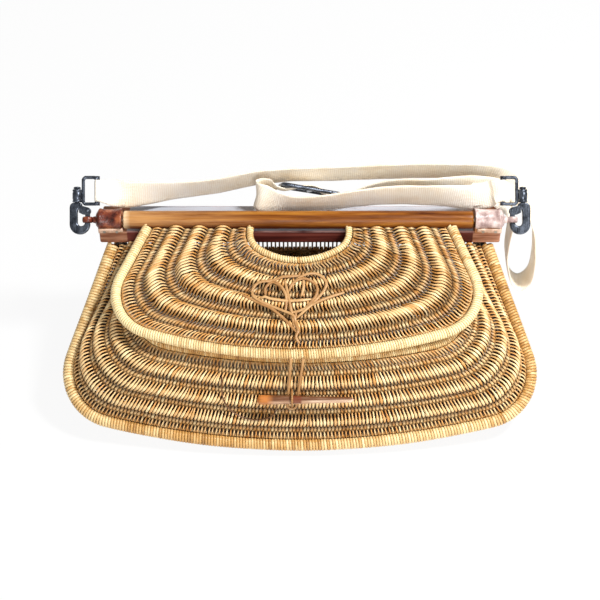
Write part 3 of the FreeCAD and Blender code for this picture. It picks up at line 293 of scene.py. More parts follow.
WICKER = wicker_material(
    "wicker", (0.24, 0.075, 0.012), (0.66, 0.315, 0.08), (1.0, 0.79, 0.43), (0.022, 0.007, 0.002)
)
RIM = wicker_material(
    "wicker_rim", (0.22, 0.085, 0.018), (0.62, 0.34, 0.1), (0.98, 0.78, 0.42), (0.03, 0.009, 0.003)
)
LACE = wicker_material(
    "cane_lace", (0.15, 0.055, 0.012), (0.38, 0.18, 0.055), (0.72, 0.45, 0.2), (0.04, 0.012, 0.004), 0.42
)
BAR = bar_material()
BOARD = board_material()
PEG = peg_material()
BLOCK = block_material()
DARK_LEATHER = leather_material(
    "leather_dark", (0.03, 0.006, 0.004), (0.15, 0.027, 0.012), (0.4, 0.12, 0.045), 0.26
)
GREY_LEATHER = leather_material(
    "leather_worn", (0.17, 0.09, 0.08), (0.5, 0.36, 0.33), (0.8, 0.68, 0.64), 0.28
)
PALE_LEATHER = leather_material(
    "leather_pale", (0.34, 0.16, 0.09), (0.68, 0.45, 0.32), (0.88, 0.7, 0.56), 0.45
)
GUNMETAL = metal_material("gunmetal", (0.03, 0.035, 0.045), (0.15, 0.17, 0.21), 0.26)
STEEL = metal_material("steel_pin", (0.2, 0.17, 0.14), (0.5, 0.46, 0.4), 0.4)
WEBBING = webbing_material()


def add_object(name, data, body, node, place=None):
    obj = bpy.data.objects.new(name, data)
    bpy.context.collection.objects.link(obj)
    if place is not None:
        obj.matrix_world = place
    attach(obj, body)
    if node:
        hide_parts(node)
    return obj


def add_mesh(name, verts, faces, material, body, node, tone=None, lift=None):
    mesh = bpy.data.meshes.new(name)
    mesh.from_pydata((np.asarray(verts) * MM).tolist(), [], faces)
    for label, values in (("tone", tone), ("lift", lift)):
        if values is not None:
            layer = mesh.attributes.new(label, "FLOAT", "POINT")
            layer.data.foreach_set("value", np.asarray(values, np.float32))
    mesh.materials.append(material)
    mesh.polygons.foreach_set("use_smooth", [True] * len(mesh.polygons))
    mesh.update()
    return add_object(name, mesh, body, node)


def grid_faces(rows, columns, first=0, closed=True):
    """Quads between rows of points; a closed grid joins its last column to the first."""
    start = first + np.arange(rows - 1)[:, None] * columns
    k = np.arange(columns if closed else columns - 1)
    after = (k + 1) % columns
    quads = [start + k, start + after, start + after + columns, start + k + columns]
    return np.stack(quads, -1).reshape(-1, 4).tolist()


def end_faces(rows, columns, first=0):
    """The two faces that close a tube of points."""
    ring = first + np.arange(columns)
    return [ring[::-1].tolist(), (ring + (rows - 1) * columns).tolist()]


def unit(v):
    return v / np.maximum(np.linalg.norm(v, axis=-1, keepdims=True), 1e-12)


class Bundle:
    """Collects many strands into one mesh."""

    def __init__(self):
        self.verts, self.faces, self.tone, self.lift = [], [], [], []
        self.count = 0

    def strand(self, path, normals, half_wide, half_thick, tone, lift, sides=6, shade=0.25):
        """A strip or rod along a path; lift is its level of painted shade (lower is darker), and shade is
        how much paler its outer side is than its inner side, as painted light and shade.
        """
        rows = len(path)
        along = unit(np.gradient(path, axis=0))
        across = unit(np.cross(along, np.broadcast_to(normals, path.shape)))
        up = np.cross(across, along)
        turn = np.arange(sides) * 2 * pi / sides + pi / sides
        wide = np.broadcast_to(half_wide, rows)[:, None] * np.cos(turn)
        thick = np.broadcast_to(half_thick, rows)[:, None] * np.sin(turn)
        ring = path[:, None] + across[:, None] * wide[..., None] + up[:, None] * thick[..., None]
        self.verts.append(ring.reshape(-1, 3))
        self.faces += grid_faces(rows, sides, self.count) + end_faces(rows, sides, self.count)
        self.tone.append(np.repeat(np.broadcast_to(tone, rows), sides))
        level = np.broadcast_to(lift, rows)[:, None] + shade * np.sin(turn)
        self.lift.append(level.reshape(-1))
        self.count += rows * sides

    def build(self, name, material, body, node=None):
        verts, tone, lift = (np.concatenate(part) for part in (self.verts, self.tone, self.lift))
        return add_mesh(name, verts, self.faces, material, body, node, tone, lift)


def travelled(points):
    """The way along a line at each of its points."""
    return np.r_[0, np.cumsum(np.linalg.norm(np.diff(points, axis=0), axis=1))]


def straight(a, b, count):
    a = np.asarray(a, float)
    return a + (b - a) * np.linspace(0, 1, count)[:, None]


def resample(points, count):
    """Evenly spaced places along a line."""
    way = travelled(points)
    where = np.linspace(0, way[-1], count)
    return np.stack([np.interp(where, way, column) for column in np.transpose(points)], 1)


def smooth_line(points, per):
    """A smooth curve through given rows of numbers."""
    p = np.asarray(points, float)
    p = np.vstack([2 * p[0] - p[1], p, 2 * p[-1] - p[-2]])
    t = np.linspace(0, 1, per, endpoint=False)[:, None]
    out = []
    for a, b, c, d in zip(p, p[1:], p[2:], p[3:]):
        square, cube = 2 * a - 5 * b + 4 * c - d, 3 * b - a - 3 * c + d
        out.append(0.5 * (2 * b + (c - a) * t + square * t**2 + cube * t**3))
    out.append(p[-2][None])
    return np.concatenate(out)


def line_normals(path, hint):
    """Normals square to a path, nearest to a hint."""
    along = unit(np.gradient(path, axis=0))
    hint = np.broadcast_to(hint, path.shape)
    return unit(hint - along * (hint * along).sum(1, keepdims=True))


def band(name, path, normals, wide, thick, material, body, node=None, sides=12, tone=0.5, lift=0.0):
    """One strand as a piece of its own."""
    bundle = Bundle()
    bundle.strand(path, normals, wide, thick, tone, lift, sides)
    return bundle.build(name, material, body, node)


def rod(name, path, radius, material, body, node=None, hint=UP, sides=16, flat=1.0, tone=0.6):
    normals = line_normals(path, hint)
    thick = np.asarray(radius) * flat
    return band(name, path, normals, radius, thick, material, body, node, sides, tone, 0.6)


def lathe(name, profile, place, axis, material, body, node, sides=48):
    """Turn rows of (along, radius) round an axis."""
    side = unit(np.cross(axis, [0.3, 0.2, 1.0]))
    other = np.cross(axis, side)
    turn = np.arange(sides)[:, None] * 2 * pi / sides
    round_axis = np.cos(turn) * side + np.sin(turn) * other
    verts = np.concatenate([place + axis * along + radius * round_axis for along, radius in profile])
    faces = grid_faces(len(profile), sides) + end_faces(len(profile), sides)
    return add_mesh(name, verts, faces, material, body, node)


# Outlines, as in the CAD model
def u_outline(start_half, spread, corner, start, front, corner_share):
    centre_x = start_half + spread - corner
    centre_s = start + (front - start) * corner_share
    run = centre_s - start
    angle = atan2(spread - corner, run) + asin(corner / hypot(spread - corner, run))
    side_half = centre_x + corner * cos(angle)
    side_end = centre_s - corner * sin(angle)
    drop = front - centre_s
    bow = (centre_x**2 + drop**2 - corner**2) / (2 * (drop - corner))
    bow_s = front - bow
    meet = atan2(centre_x, centre_s - bow_s)
    turn = (pi / 2 + angle + meet) / 2
    right = [
        (start_half, start),
        (side_half, side_end),
        (centre_x + corner * sin(turn), centre_s + corner * cos(turn)),
        (centre_x + corner * sin(meet), centre_s + corner * cos(meet)),
        (bow * sin(meet / 2), bow_s + bow * cos(meet / 2)),
        (0, front),
    ]
    left = [(-x, s) for x, s in right[:-1]]
    return np.array(left + right[::-1], float)


def on_plane(outline, y, z, angle=0.0):
    x, s = outline[:, 0], outline[:, 1]
    return np.stack([x, y - s * cos(angle), z - s * sin(angle)], 1)


def tangents(places):
    t = np.empty_like(places)
    t[1:-1] = places[2:] - places[:-2]
    t[0] = t[1] = places[1] - places[0]
    t[-1] = t[-2] = places[-1] - places[-2]
    return unit(t)


def towards(first, second, distance):
    """An outline moved squarely by a distance, on lines towards another."""
    way = unit(second - first)
    square = np.linalg.norm(np.cross(way, tangents(first)), axis=1, keepdims=True)
    return first + way * (distance / square)


def arc(a, b, c, count):
    """Places on the arc through three points."""
    ab, ac = b - a, c - a
    normal = np.cross(ab, ac)
    size = normal @ normal
    if size < 1e-9:
        return straight(a, c, count)
    centre = a + (np.cross(normal, ab) * (ac @ ac) + np.cross(ac, normal) * (ab @ ab)) / (2 * size)
    e1 = a - centre
    radius = np.linalg.norm(e1)
    e1 = e1 / radius
    e2 = np.cross(unit(normal), e1)
    end = atan2((c - centre) @ e2, (c - centre) @ e1) % (2 * pi)
    turn = np.linspace(0, end, count)[:, None]
    return centre + radius * (np.cos(turn) * e1 + np.sin(turn) * e2)


LEAD_STEPS, SPAN_STEPS = 24, 60


def outline_curve(places, lead=0):
    """Dense line through an outline's places, with the same count on every row."""
    last = len(places) - 1
    pieces = [straight(*places[k : k + 2], LEAD_STEPS) for k in range(lead)]
    pieces.append(straight(*places[lead : lead + 2], SPAN_STEPS))
    pieces += [arc(*places[k : k + 3], SPAN_STEPS) for k in range(lead + 1, lead + 9, 2)]
    pieces.append(straight(*places[lead + 9 : lead + 11], SPAN_STEPS))
    pieces += [straight(*places[k : k + 2], LEAD_STEPS) for k in range(last - lead, last)]
    return np.concatenate([pieces[0]] + [piece[1:] for piece in pieces[1:]])


ROWS, STEPS, COLUMNS = 8, 8, 361


class Web:
    """A wall swept by outlines, looked up by row and by share along the row."""

    def __init__(self, places_at, rows=ROWS, lead=0, even=True):
        self.rows = rows
        curves = [outline_curve(places_at(row), lead) for row in np.linspace(0, rows, rows * STEPS + 1)]
        self.lengths = [travelled(curve) for curve in curves]
        if even:
            self.grid = np.array([resample(curve, COLUMNS) for curve in curves])
        else:
            top = self.lengths[-1]
            where = np.interp(np.linspace(0, top[-1], COLUMNS), top, np.arange(len(top)))
            low = np.floor(where).astype(int).clip(0, len(top) - 2)
            part = (where - low)[:, None]
            self.grid = np.array([curve[low] * (1 - part) + curve[low + 1] * part for curve in curves])
        self.normal = unit(np.cross(np.gradient(self.grid, axis=1), np.gradient(self.grid, axis=0)))

    def face(self, way, column=COLUMNS // 2):
        """Turn the normals so that they point a given way at one column."""
        if self.normal[len(self.grid) // 2, column] @ way < 0:
            self.normal *= -1

    def at(self, row, share):
        row = np.clip(np.asarray(row, float), 0, self.rows) * STEPS
        share = np.clip(np.asarray(share, float), 0, 1) * (COLUMNS - 1)
        i = np.floor(row).astype(int).clip(0, self.rows * STEPS - 1)
        j = np.floor(share).astype(int).clip(0, COLUMNS - 2)
        a = (row - i)[..., None]
        b = (share - j)[..., None]
        found = []
        for table in (self.grid, self.normal):
            low = table[i, j] * (1 - b) + table[i, j + 1] * b
            high = table[i + 1, j] * (1 - b) + table[i + 1, j + 1] * b
            found.append(low * (1 - a) + high * a)
        return found[0], unit(found[1])


def wave(row):
    """Crests on even rows and hollows on odd ones, fading to nothing at both rims."""
    fade = np.clip(np.minimum(row, ROWS - row), 0, 1)
    return np.cos(pi * row) * fade * fade * (3 - 2 * fade)


# Pitch and thickness of the strands, and how far they and the ribs stand off the web
PAIR, HALF_THICK = 3.15, 0.64
RIB_LIFT, RIB_RADIUS, RIB_STEPS = 2.2, 1.25, 241
OVER, UNDER = 4.1, 0.35


def cane_tone(mean, spread):
    return np.clip(rng.normal(mean, spread), 0.05, 1)


def pair_weights(web):
    """How far each pair of strands has grown at each row, so that all rows are as dense."""
    steps = np.diff(web.lengths, axis=1)
    most = steps.max(axis=0)
    place = np.arange(len(most))
    pairs = np.cumsum(most) / PAIR
    total = int(pairs[-1])
    middle = np.interp(np.arange(total) + 0.5, pairs, place)
    share = np.array([np.interp(middle, place, step / most) for step in steps])
    golden = (np.arange(total) * 0.6180339887) % 1
    weight = np.clip((1.06 * share - golden) / 0.07 + 0.5, 0, 1)
    return weight * weight * (3 - 2 * weight)


def weave(name, web, body, node, rib_name, rib_node, facing, worn=0.0):
    """Pairs of strands over and under the ribs; more pairs start where the fan widens.

    Facing says which slope of a ridge lies open to the front, and worn how much paler the weave is. Crests
    are paled as painted highlight, and hollows, shut slopes and the under strands are darkened as painted
    shade.
    """
    rows = np.linspace(0, web.rows, web.rows * STEPS + 1)
    weight = pair_weights(web)
    before = np.cumsum(weight, axis=1) - weight
    whole = weight.sum(axis=1, keepdims=True)
    families = {"over": Bundle(), "under": Bundle()}
    for j in range(weight.shape[1]):
        shown = weight[:, j] > 0.03
        if shown.sum() < STEPS // 2:
            continue
        first, last = np.flatnonzero(shown)[[0, -1]]
        pick = slice(first, last + 1)
        row = rows[pick]
        grown = weight[pick, j]
        bend = wave(row)
        crest = np.clip(bend, 0, 1) ** 2
        hollow = np.clip(-bend, 0, 1) ** 2
        broad = bend + 0.38 * (1 - bend**2) * np.clip(np.minimum(row, web.rows - row), 0, 1)
        turned = facing * np.sin(pi * row)
        open_side = np.clip(turned, 0, 1)
        shut_side = np.clip(-turned, 0, 1)
        for kind, part in (("over", 0.27), ("under", 0.73)):
            jitter = rng.normal(0, 0.03) + 0.025 * np.sin(row * rng.uniform(1.2, 2.4) + rng.uniform(0, 6))
            place = (before[pick, j] + grown * (part + jitter)) / whole[pick, 0]
            points, normals = web.at(row, place)
            if kind == "over":
                lift = broad * (OVER + rng.normal(0, 0.1))
                # Painted highlight on crests, painted shade in hollows and on shut slopes.
                level = 0.3 + 0.55 * crest - 0.9 * hollow - 0.5 * shut_side
                wide = 0.72 + 0.55 * crest + 0.08 * shut_side
            else:
                lift = -bend * UNDER - 1.3 * open_side - 0.5 * shut_side
                # Painted shade: under strands are darkened below crests and in the gaps on both slopes.
                level = 0.2 * hollow - 1.0 * crest - 1.4 * open_side - 1.2 * shut_side
                wide = 0.95 + 0.25 * hollow
            # Crests are paler as painted highlight.
            tone = cane_tone(0.52, 0.11) + 0.16 * crest + 0.5 * worn
            points = points + normals * (lift - 2.2 * (1 - grown))[:, None]
            wide = wide * rng.uniform(0.92, 1.06) * (0.5 + 0.5 * grown)
            families[kind].strand(points, normals, wide, HALF_THICK, tone, level + worn)
    families["over"].build(name + "_over", WICKER, body, node)
    families["under"].build(name + "_under", WICKER, body)
    ribs = Bundle()
    for k in range(1, web.rows):
        points, normals = web.at(np.full(RIB_STEPS, float(k)), np.linspace(0, 1, RIB_STEPS))
        points = points + normals * (RIB_LIFT if k % 2 == 0 else -RIB_LIFT)
        # Ribs are darkened as painted shade beneath the strands.
        ribs.strand(points, normals, RIB_RADIUS, RIB_RADIUS, 0.35, -0.75, 8)
    ribs.build(rib_name, WICKER, body, rib_node)


def wrapped_rim(name, curve, radius, body, node, pitch=1.75, tone=0.55):
    """A rim rod closely wound with cane."""
    minor = min(0.95, radius * 0.28)
    turns = int(travelled(curve)[-1] / pitch)
    sides = 14
    step = np.arange(turns * sides)
    line = resample(curve, len(step))
    first = line_normals(line, UP)
    second = np.cross(unit(np.gradient(line, axis=0)), first)
    turn = (step * 2 * pi / sides)[:, None]
    out = first * np.cos(turn) + second * np.sin(turn)
    reach = (radius - minor * 0.75) * (1 + 0.02 * np.sin(step * 0.013 + 1.0))
    path = line + out * reach[:, None]
    spread = rng.normal(size=turns + 1).repeat(sides)[: len(step)]
    tones = np.clip(tone + 0.16 * np.sin(step * 0.0031) + 0.12 * spread, 0.05, 1)
    band(name, path, out, pitch * 0.52, minor * 0.75, RIM, body, node, 5, tones, 0.35)
    # The core under the winding is darkened as painted shade.
    inner = resample(curve, 200)
    rest = radius - minor
    band(name + "_core", inner, line_normals(inner, UP), rest, rest, RIM, body, None, 12, 0.2, -0.6)


# Collar between the border hoop and the mouth
hoop_plan = u_outline(167, spread=35, corner=45, start=0, front=HOOP_REACH, corner_share=0.6416)
hoop = on_plane(hoop_plan, HOOP_Y, HOOP_Z, asin((HOOP_Z - HOOP_FRONT_Z) / HOOP_REACH))
mouth_run, mouth_fall = MOUTH_Y - MOUTH_FRONT_Y, MOUTH_Z - MOUTH_FRONT_Z
mouth_front = hypot(mouth_run, mouth_fall)
mouth_plan = u_outline(110, spread=30, corner=36, start=0, front=mouth_front, corner_share=0.5987)
mouth = on_plane(mouth_plan, MOUTH_Y, MOUTH_Z, atan2(mouth_fall, mouth_run))
collar_low = towards(hoop, mouth, HOOP_R + 0.6)
collar_high = towards(mouth, hoop, MOUTH_R + 0.6)
collar_out = unit(np.cross(tangents(collar_low), collar_high - collar_low))
SWELL_SHARES = np.array([0.3, 1, 1, 0.6, 0.2, 0, 0.2, 0.6, 1, 1, 0.3])


def collar_places(row, lift=0.0):
    share = row / ROWS
    bulge = 4 * share * (1 - share) * (2.5 + 6.5 * SWELL_SHARES) + lift
    return collar_low * (1 - share) + collar_high * share + collar_out * bulge[:, None]


collar = Web(collar_places)
collar.face(-BACK)
weave("front_strands", collar, "basket", "front_weave", "collar_ribs", "body_ribs", facing=1, worn=0.12)
wrapped_rim("border_winding", outline_curve(hoop), HOOP_R, "basket", "border_hoop", 2.5)
wrapped_rim("mouth_winding", outline_curve(mouth), MOUTH_R, "basket", "mouth_rim")

# Lid: it rests above the mouth's front and comes close to the bar
lid_way = hypot(BAR_Y - MOUTH_FRONT_Y, BAR_Z - MOUTH_FRONT_Z)
SLOPE = atan2(BAR_Z - MOUTH_FRONT_Z, BAR_Y - MOUTH_FRONT_Y) - asin(LID_ABOVE / lid_way)
LID_REACH = sqrt(lid_way**2 - LID_ABOVE**2) - 0.4
LID_UP = np.array([0, -sin(SLOPE), cos(SLOPE)])


def skewed(outline):
    """The lid's front edge sits a little to the left."""
    moved = outline.copy()
    moved[:, 0] -= 4.5 * outline[:, 1] / LID_REACH
    return moved


def lid_place(plan, rise=0.0):
    """Places on the lid from rows of (across, down the slope) and a height over it."""
    return on_plane(plan, BAR_Y, BAR_Z, SLOPE) + np.multiply.outer(rise, LID_UP)


def flat(plan):
    return np.c_[plan, np.zeros(len(plan))]


def run_back(plan, start):
    """Both ends of an outline, lengthened or cut to one distance from the bar's axis."""
    plan = plan.copy()
    for end, near in ((0, 1), (-1, -2)):
        way = plan[near] - plan[end]
        plan[end] = plan[end] + way * ((start - plan[end, 1]) / way[1])
    return plan


rim_plan = skewed(u_outline(134.7, spread=20.8, corner=42, start=10.0, front=LID_REACH, corner_share=0.5093))
slot_plan = skewed(u_outline(43.3, spread=0.2, corner=20, start=8.68, front=41, corner_share=0.15))
lid_low = run_back(towards(flat(slot_plan), flat(rim_plan), SLOT_RIM_R + 0.6)[:, :2], BAR_R + 0.2)
lid_high = run_back(towards(flat(rim_plan), flat(slot_plan), LID_RIM_R + 0.6)[:, :2], BAR_R + 0.2)


def lid_places(row):
    share = row / ROWS
    return lid_place(lid_low * (1 - share) + lid_high * share)


def from_bar(plan):
    """A rim's line, run back to the round of the bar."""
    return outline_curve(lid_place(run_back(plan, BAR_R - 0.5)))


lid_web = Web(lid_places)
lid_web.face(UP)
weave("lid_strands", lid_web, "lid", "lid_weave", "lid_hoops", "lid_ribs", facing=-1)
wrapped_rim("lid_winding", from_bar(rim_plan), LID_RIM_R, "lid", "lid_rim", 2.1, tone=0.84)
wrapped_rim("slot_winding", from_bar(slot_plan), SLOT_RIM_R, "lid", "slot_rim", 2.1, tone=0.62)

# Lower wall, from the floor's edge up to the hoop, and round behind it to the back
floor_plan = u_outline(146, spread=5, corner=60, start=0, front=167, corner_share=0.5456)
foot = on_plane(floor_plan, BACK_Y, FLOOR_Z)
below_hoop = HOOP_R + 0.2
turn_y = HOOP_Y + below_hoop
mirror = np.array([-1, 1, 1])
back_top = np.array([[hoop[0, 0], y, WALL_TOP] for y in (BACK_Y, turn_y)])
wall_top = np.vstack([back_top, hoop - UP * below_hoop, (back_top * mirror)[::-1]])
side_run = (foot[1] - foot[0]) / (BACK_Y - foot[1, 1])
back_foot = np.array([foot[0] + side_run * (BACK_Y - y) for y in (BACK_Y, turn_y, HOOP_Y)])
wall_low = np.vstack([back_foot, foot[1:-1], (back_foot * mirror)[::-1]])
WALL_ROWS, WALL_STEPS, WALL_PITCH, RIB_PITCH = 4, 41, 1.8, 9.0


def wall_places(row):
    share = row / WALL_ROWS
    return wall_low * (1 - share) + wall_top * share


wall = Web(wall_places, WALL_ROWS, lead=2, even=False)
wall.face(RIGHT, COLUMNS * 3 // 4)


def wall_weave():
    over, ribs = Bundle(), Bundle()
    count = int(wall.lengths[-1][-1] / WALL_PITCH)
    rows = np.linspace(0, WALL_ROWS, WALL_STEPS)
    for j in range(count):
        share = (j + 0.5 + rng.normal(0, 0.06)) / count
        points, normals = wall.at(rows, np.full(WALL_STEPS, share))
        phase = 1 if j % 2 else -1
        bend = phase * np.cos(pi * (points[:, 2] - 4) / RIB_PITCH)
        path = points + normals * (bend - 2.0)[:, None]
        # Painted shade: strands are darker where they dip under the ribs and on their inner side.
        over.strand(path, normals, 1.22, 0.58, cane_tone(0.5, 0.2), bend / 2.2, 6, 0.8)
    tops = wall.grid[-1][:, 2]
    for z in np.arange(4 + RIB_PITCH / 2, 116, RIB_PITCH):
        inside = np.flatnonzero(tops > z + 1.5)
        split = np.flatnonzero(np.diff(inside) > 1)
        for group in np.split(inside, split + 1):
            if len(group) < 4:
                continue
            low, high = wall.grid[0][group], wall.grid[-1][group]
            part = ((z - low[:, 2]) / (high[:, 2] - low[:, 2]))[:, None]
            line = resample(low + (high - low) * part, 160)
            normals = line_normals(line, unit(line * (RIGHT + BACK)))
            # Ribs are darkened a little as painted shade.
            ribs.strand(line - normals * 2.0, normals, 1.1, 1.1, 0.4, -0.3)
    over.build("side_strands", WICKER, "basket", "side_weave")
    ribs.build("side_ribs", WICKER, "basket")


wall_weave()


def back_weave():
    """Upright strands about cross rods; every second one stops below the open strip."""
    strands, rods = Bundle(), Bundle()
    pitch, low_half, rod_pitch = 3.5, 143.5, 12
    count = int(2 * 167 / pitch)
    for j in range(-count // 2, count // 2 + 1):
        for family, top in ((0, 117.0), (1, 84.0)):
            x0 = (j + 0.5 * family) * pitch + rng.normal(0, 0.12)
            outside = abs(x0) > low_half
            start = (abs(x0) - low_half) / 0.178 if outside else 1.0
            lean = 0.0 if outside else 0.13 * x0 / low_half
            if start > top - 8:
                continue
            z = np.linspace(start, top, 48)
            phase = 1 if family else -1
            y = 82.8 + phase * 1.3 * np.cos(pi * (z - BACK_Y) / rod_pitch)
            path = np.stack([x0 + lean * z, y, z], 1)
            # Painted shade: the strands grow darker below the open strip, and their inner side is darker.
            level = 0.2 - 0.2 * np.clip((84 - z) / 4, 0, 1)
            wide = 1.2 - 0.34 * np.clip((z - 82) / 4, 0, 1)
            strands.strand(path, BACK, wide, 0.6, cane_tone(0.5, 0.2), level, 6, 0.35)
    for z in np.arange(81.0, 6, -rod_pitch):
        half = 144.5 + 21 * z / 118
        rods.strand(straight((-half, 81.6, z), (half, 81.6, z), 60), BACK, 1.6, 1.6, 0.45, 0.0, 8)
    for side in (-1, 1):
        stake = [(side * x, 82.2, z) for x, z in ((145.5, 1.5), (156, 60), (165.5, 116))]
        rods.strand(resample(stake, 30), BACK, 2.1, 2.1, 0.45, 0.0, 8)
    strands.build("back_strands", WICKER, "basket", "back_weave")
    rods.build("back_rods", WICKER, "basket", "back_ribs")


back_weave()


def floor_weave():
    """Strands from back to front about cross rods, inside a rod along the floor's edge."""
    strands, rods = Bundle(), Bundle()
    edge = outline_curve(on_plane(floor_plan, BACK_Y, 0))
    half = len(edge) // 2
    pitch, rod_pitch, most = 1.78, 12, 149.5
    for j in range(-84, 85):
        x0 = j * pitch
        if abs(x0) > most:
            continue
        side = (edge[:half][::-1] if x0 < 0 else edge[half:])[:150]
        front = np.interp(abs(x0), np.abs(side[:, 0]), side[:, 1])
        y = np.linspace(80.5, front + 0.8, 44)
        z = 2.0 + (1 if j % 2 else -1) * 0.95 * np.cos(pi * (BACK_Y - y) / rod_pitch)
        path = np.stack([np.full(44, x0), y, z], 1)
        # Painted shade: the strands are darker overall and much darker on their inner side.
        strands.strand(path, -UP, 1.2, 0.5, cane_tone(0.45, 0.18), -0.4, 6, 0.8)
    for y in np.arange(75, 75 - 14 * rod_pitch, -rod_pitch):
        ahead = edge[np.abs(edge[:, 1] - y) < 1.5]
        if not len(ahead):
            continue
        reach = np.abs(ahead[:, 0]).max() - 1.0
        rods.strand(straight((-reach, y, 2.0), (reach, y, 2.0), 40), -UP, 1.0, 0.9, 0.4, 0.0, 8)
    rim = (resample(edge, 220) + UP * 2.1) * (0.991, 0.991, 1)
    rods.strand(rim, line_normals(rim, UP), 1.5, 1.9, 0.5, 0.0, 8)
    strands.build("floor_strands", WICKER, "basket", "base_weave")
    rods.build("floor_rods", WICKER, "basket")


floor_weave()


# Board, bar and end fittings
def board():
    """The plank across the top of the back, with softened edges."""
    xs, ys, zs = (-BOARD_HALF, BOARD_HALF), (BOARD_FRONT, BOARD_BACK), (BOARD_FOOT, BOARD_TOP)
    verts = [(x, y, z) for x in xs for y in ys for z in zs]
    faces = [[0, 1, 3, 2], [4, 6, 7, 5], [0, 4, 5, 1], [2, 3, 7, 6], [0, 2, 6, 4], [1, 5, 7, 3]]
    obj = add_mesh("board", verts, faces, BOARD, "basket", "back_board")
    bevel = obj.modifiers.new("bevel", "BEVEL")
    bevel.width = 1.6 * MM
    bevel.segments = 3
    obj.modifiers.new("normals", "WEIGHTED_NORMAL").keep_sharp = True


board()


def bar():
    """A turned bar with rounded ends, bored for its pins and a little uneven along its length."""
    end = [(0, 2.56), (0, 6.9), (0.35, 7.5), (1.0, 7.93), (1.6, BAR_R)]
    profile = end + [(x, BAR_R - 0.06 * sin(x * 0.05)) for x in np.linspace(6, 302, 40)]
    profile += [(BAR_LONG - x, radius) for x, radius in end[::-1]]
    start = np.array([-155.5, BAR_Y, BAR_Z])
    lathe("lid_bar", profile, start, RIGHT, BAR, "lid", "hinge_bar")


bar()


def leaned(x, n, b):
    """A place in the leaning plane: n through it and b along it, from the bar's axis."""
    return np.array([x, BAR_Y, BAR_Z]) + n * THROUGH + b * ALONG


def leather_loop(side, near, material, node):
    """A waisted sleeve of thin leather, stitched in to a neck with an eye for the hook."""
    rows, sides, gap = 22, 40, radians(24)
    turn = np.linspace(-pi / 2 + gap, 1.5 * pi - gap, sides)
    verts = []
    for t in np.linspace(0, 1, rows):
        x = near + (BOARD_HALF + 2.0 - near) * t
        waist = 10.5 - 1.35 * sin(pi * min(t / 0.9, 1)) - max(t - 0.86, 0) / 0.14 * 4.8
        radius = waist + 0.16 * np.sin(turn * 5 + t * 9) * sin(pi * t)
        z = np.maximum(BAR_Z + radius * np.sin(turn), BAR_Z - 2.4)
        verts.append(np.stack([np.full(sides, side * x), BAR_Y + radius * np.cos(turn), z], 1))
    faces = grid_faces(rows, sides, closed=False)
    obj = add_mesh(
        node + "_sleeve", np.concatenate(verts), faces, material, "basket", node
    )
    solid = obj.modifiers.new("thickness", "SOLIDIFY")
    solid.thickness = 1.5 * MM
    solid.offset = -1 if side > 0 else 1
    neck = straight((side * 176.5, BAR_Y, BAR_Z), (side * 182.6, BAR_Y, BAR_Z), 12)
    rod(node + "_neck", neck, np.linspace(4.4, 2.6, 12), material, "basket")
    turn = np.linspace(0, 2 * pi, 40)[:, None]
    eye = leaned(side * GATE_X, 0, 0) + 4.05 * (np.cos(turn) * RIGHT + np.sin(turn) * THROUGH)
    band(node + "_eye", eye, ALONG, 0.75, 2.6, material, "strap", sides=10)


leather_loop(-1, 157.0, DARK_LEATHER, "left_loop")
leather_loop(1, 154.0, GREY_LEATHER, "right_loop")


def leather_tail(side, node):
    """A pale strap end nailed to the front of the block, tapering inwards."""
    x = np.linspace(0, 1, 16)
    outer, inner = 177.3, 155.8
    across = side * (outer + (inner - outer) * x)
    centre = np.stack([across, 43.9 - 0.25 * np.sin(x * 5), 134.0 + 0.5 * x], 1)
    band(node + "_strip", centre, -BACK, 2.5 - 0.5 * x, 0.72, PALE_LEATHER, "basket", node)


leather_tail(-1, "left_tail")
leather_tail(1, "right_tail")

for name, material in (
    ("left_end_block", BLOCK),
    ("right_end_block", BLOCK),
    ("left_hinge_pin", STEEL),
    ("right_hinge_pin", STEEL),
    ("tail_nails", STEEL),
):
    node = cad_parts[name]
    node.data.materials.clear()
    node.data.materials.append(material)


# Latch: the collar's front middle is the start of the way down, square to it the way out
LACE_R, LACE_SPACE = 1.25, 1.3
KEEPER_X = -6.8
PEG_X = -36.5
mouth_middle = mouth[5]
collar_run = hoop[5] - mouth_middle
DOWN = unit(collar_run)
OUT = np.array([0, DOWN[2], -DOWN[1]])
# Out from the collar's straight line at its middle: bulge, ridge and half the weave, then hasp and peg
SKIN = 2.5 + 2.2 + 2.0
HASP_OUT = SKIN + LACE_SPACE + 0.2
PEG_TAPER = (PEG_BIG - PEG_SMALL) / PEG_LONG
PEG_AT = PEG_BIG - PEG_TAPER * (KEEPER_X - PEG_X)
PEG_OUT = HASP_OUT + LACE_SPACE + 0.6 + PEG_AT + PEG_TAPER * 5.3


def on_wall(x, down, out):
    return np.array([x, mouth_middle[1], mouth_middle[2]]) + DOWN * down + OUT * out


def peg():
    """A tapered peg with rounded ends."""
    rows = []
    for t in np.linspace(0, 1, 40):
        rounding = min(1.0, sqrt(max(0.02, t / 0.03)), sqrt(max(0.02, (1 - t) / 0.02)))
        radius = (PEG_BIG - (PEG_BIG - PEG_SMALL) * t) * rounding * (1 - 0.015 * sin(t * 23))
        rows.append((PEG_LONG * t, radius))
    start = on_wall(PEG_X, PEG_DOWN, PEG_OUT)
    lathe("peg", rows, start, RIGHT, PEG, "peg", "toggle_peg", 24)


def keeper():
    """A staple of cane over the peg, with its ends in the weave."""
    reach = PEG_AT + 0.4 + LACE_SPACE
    bend = np.linspace(0.3, pi - 0.3, 12)
    arch = [on_wall(KEEPER_X, PEG_DOWN - reach, out) for out in (4.6, 8, PEG_OUT)]
    arch += [on_wall(KEEPER_X, PEG_DOWN - reach * cos(a), PEG_OUT + reach * sin(a)) for a in bend]
    arch += [on_wall(KEEPER_X, PEG_DOWN + reach, out) for out in (PEG_OUT, 8, 5.6)]
    path = smooth_line(arch, 4)
    rod("keeper", path, LACE_R, LACE, "basket", "peg_keeper", RIGHT, 10, 0.8, 0.35)


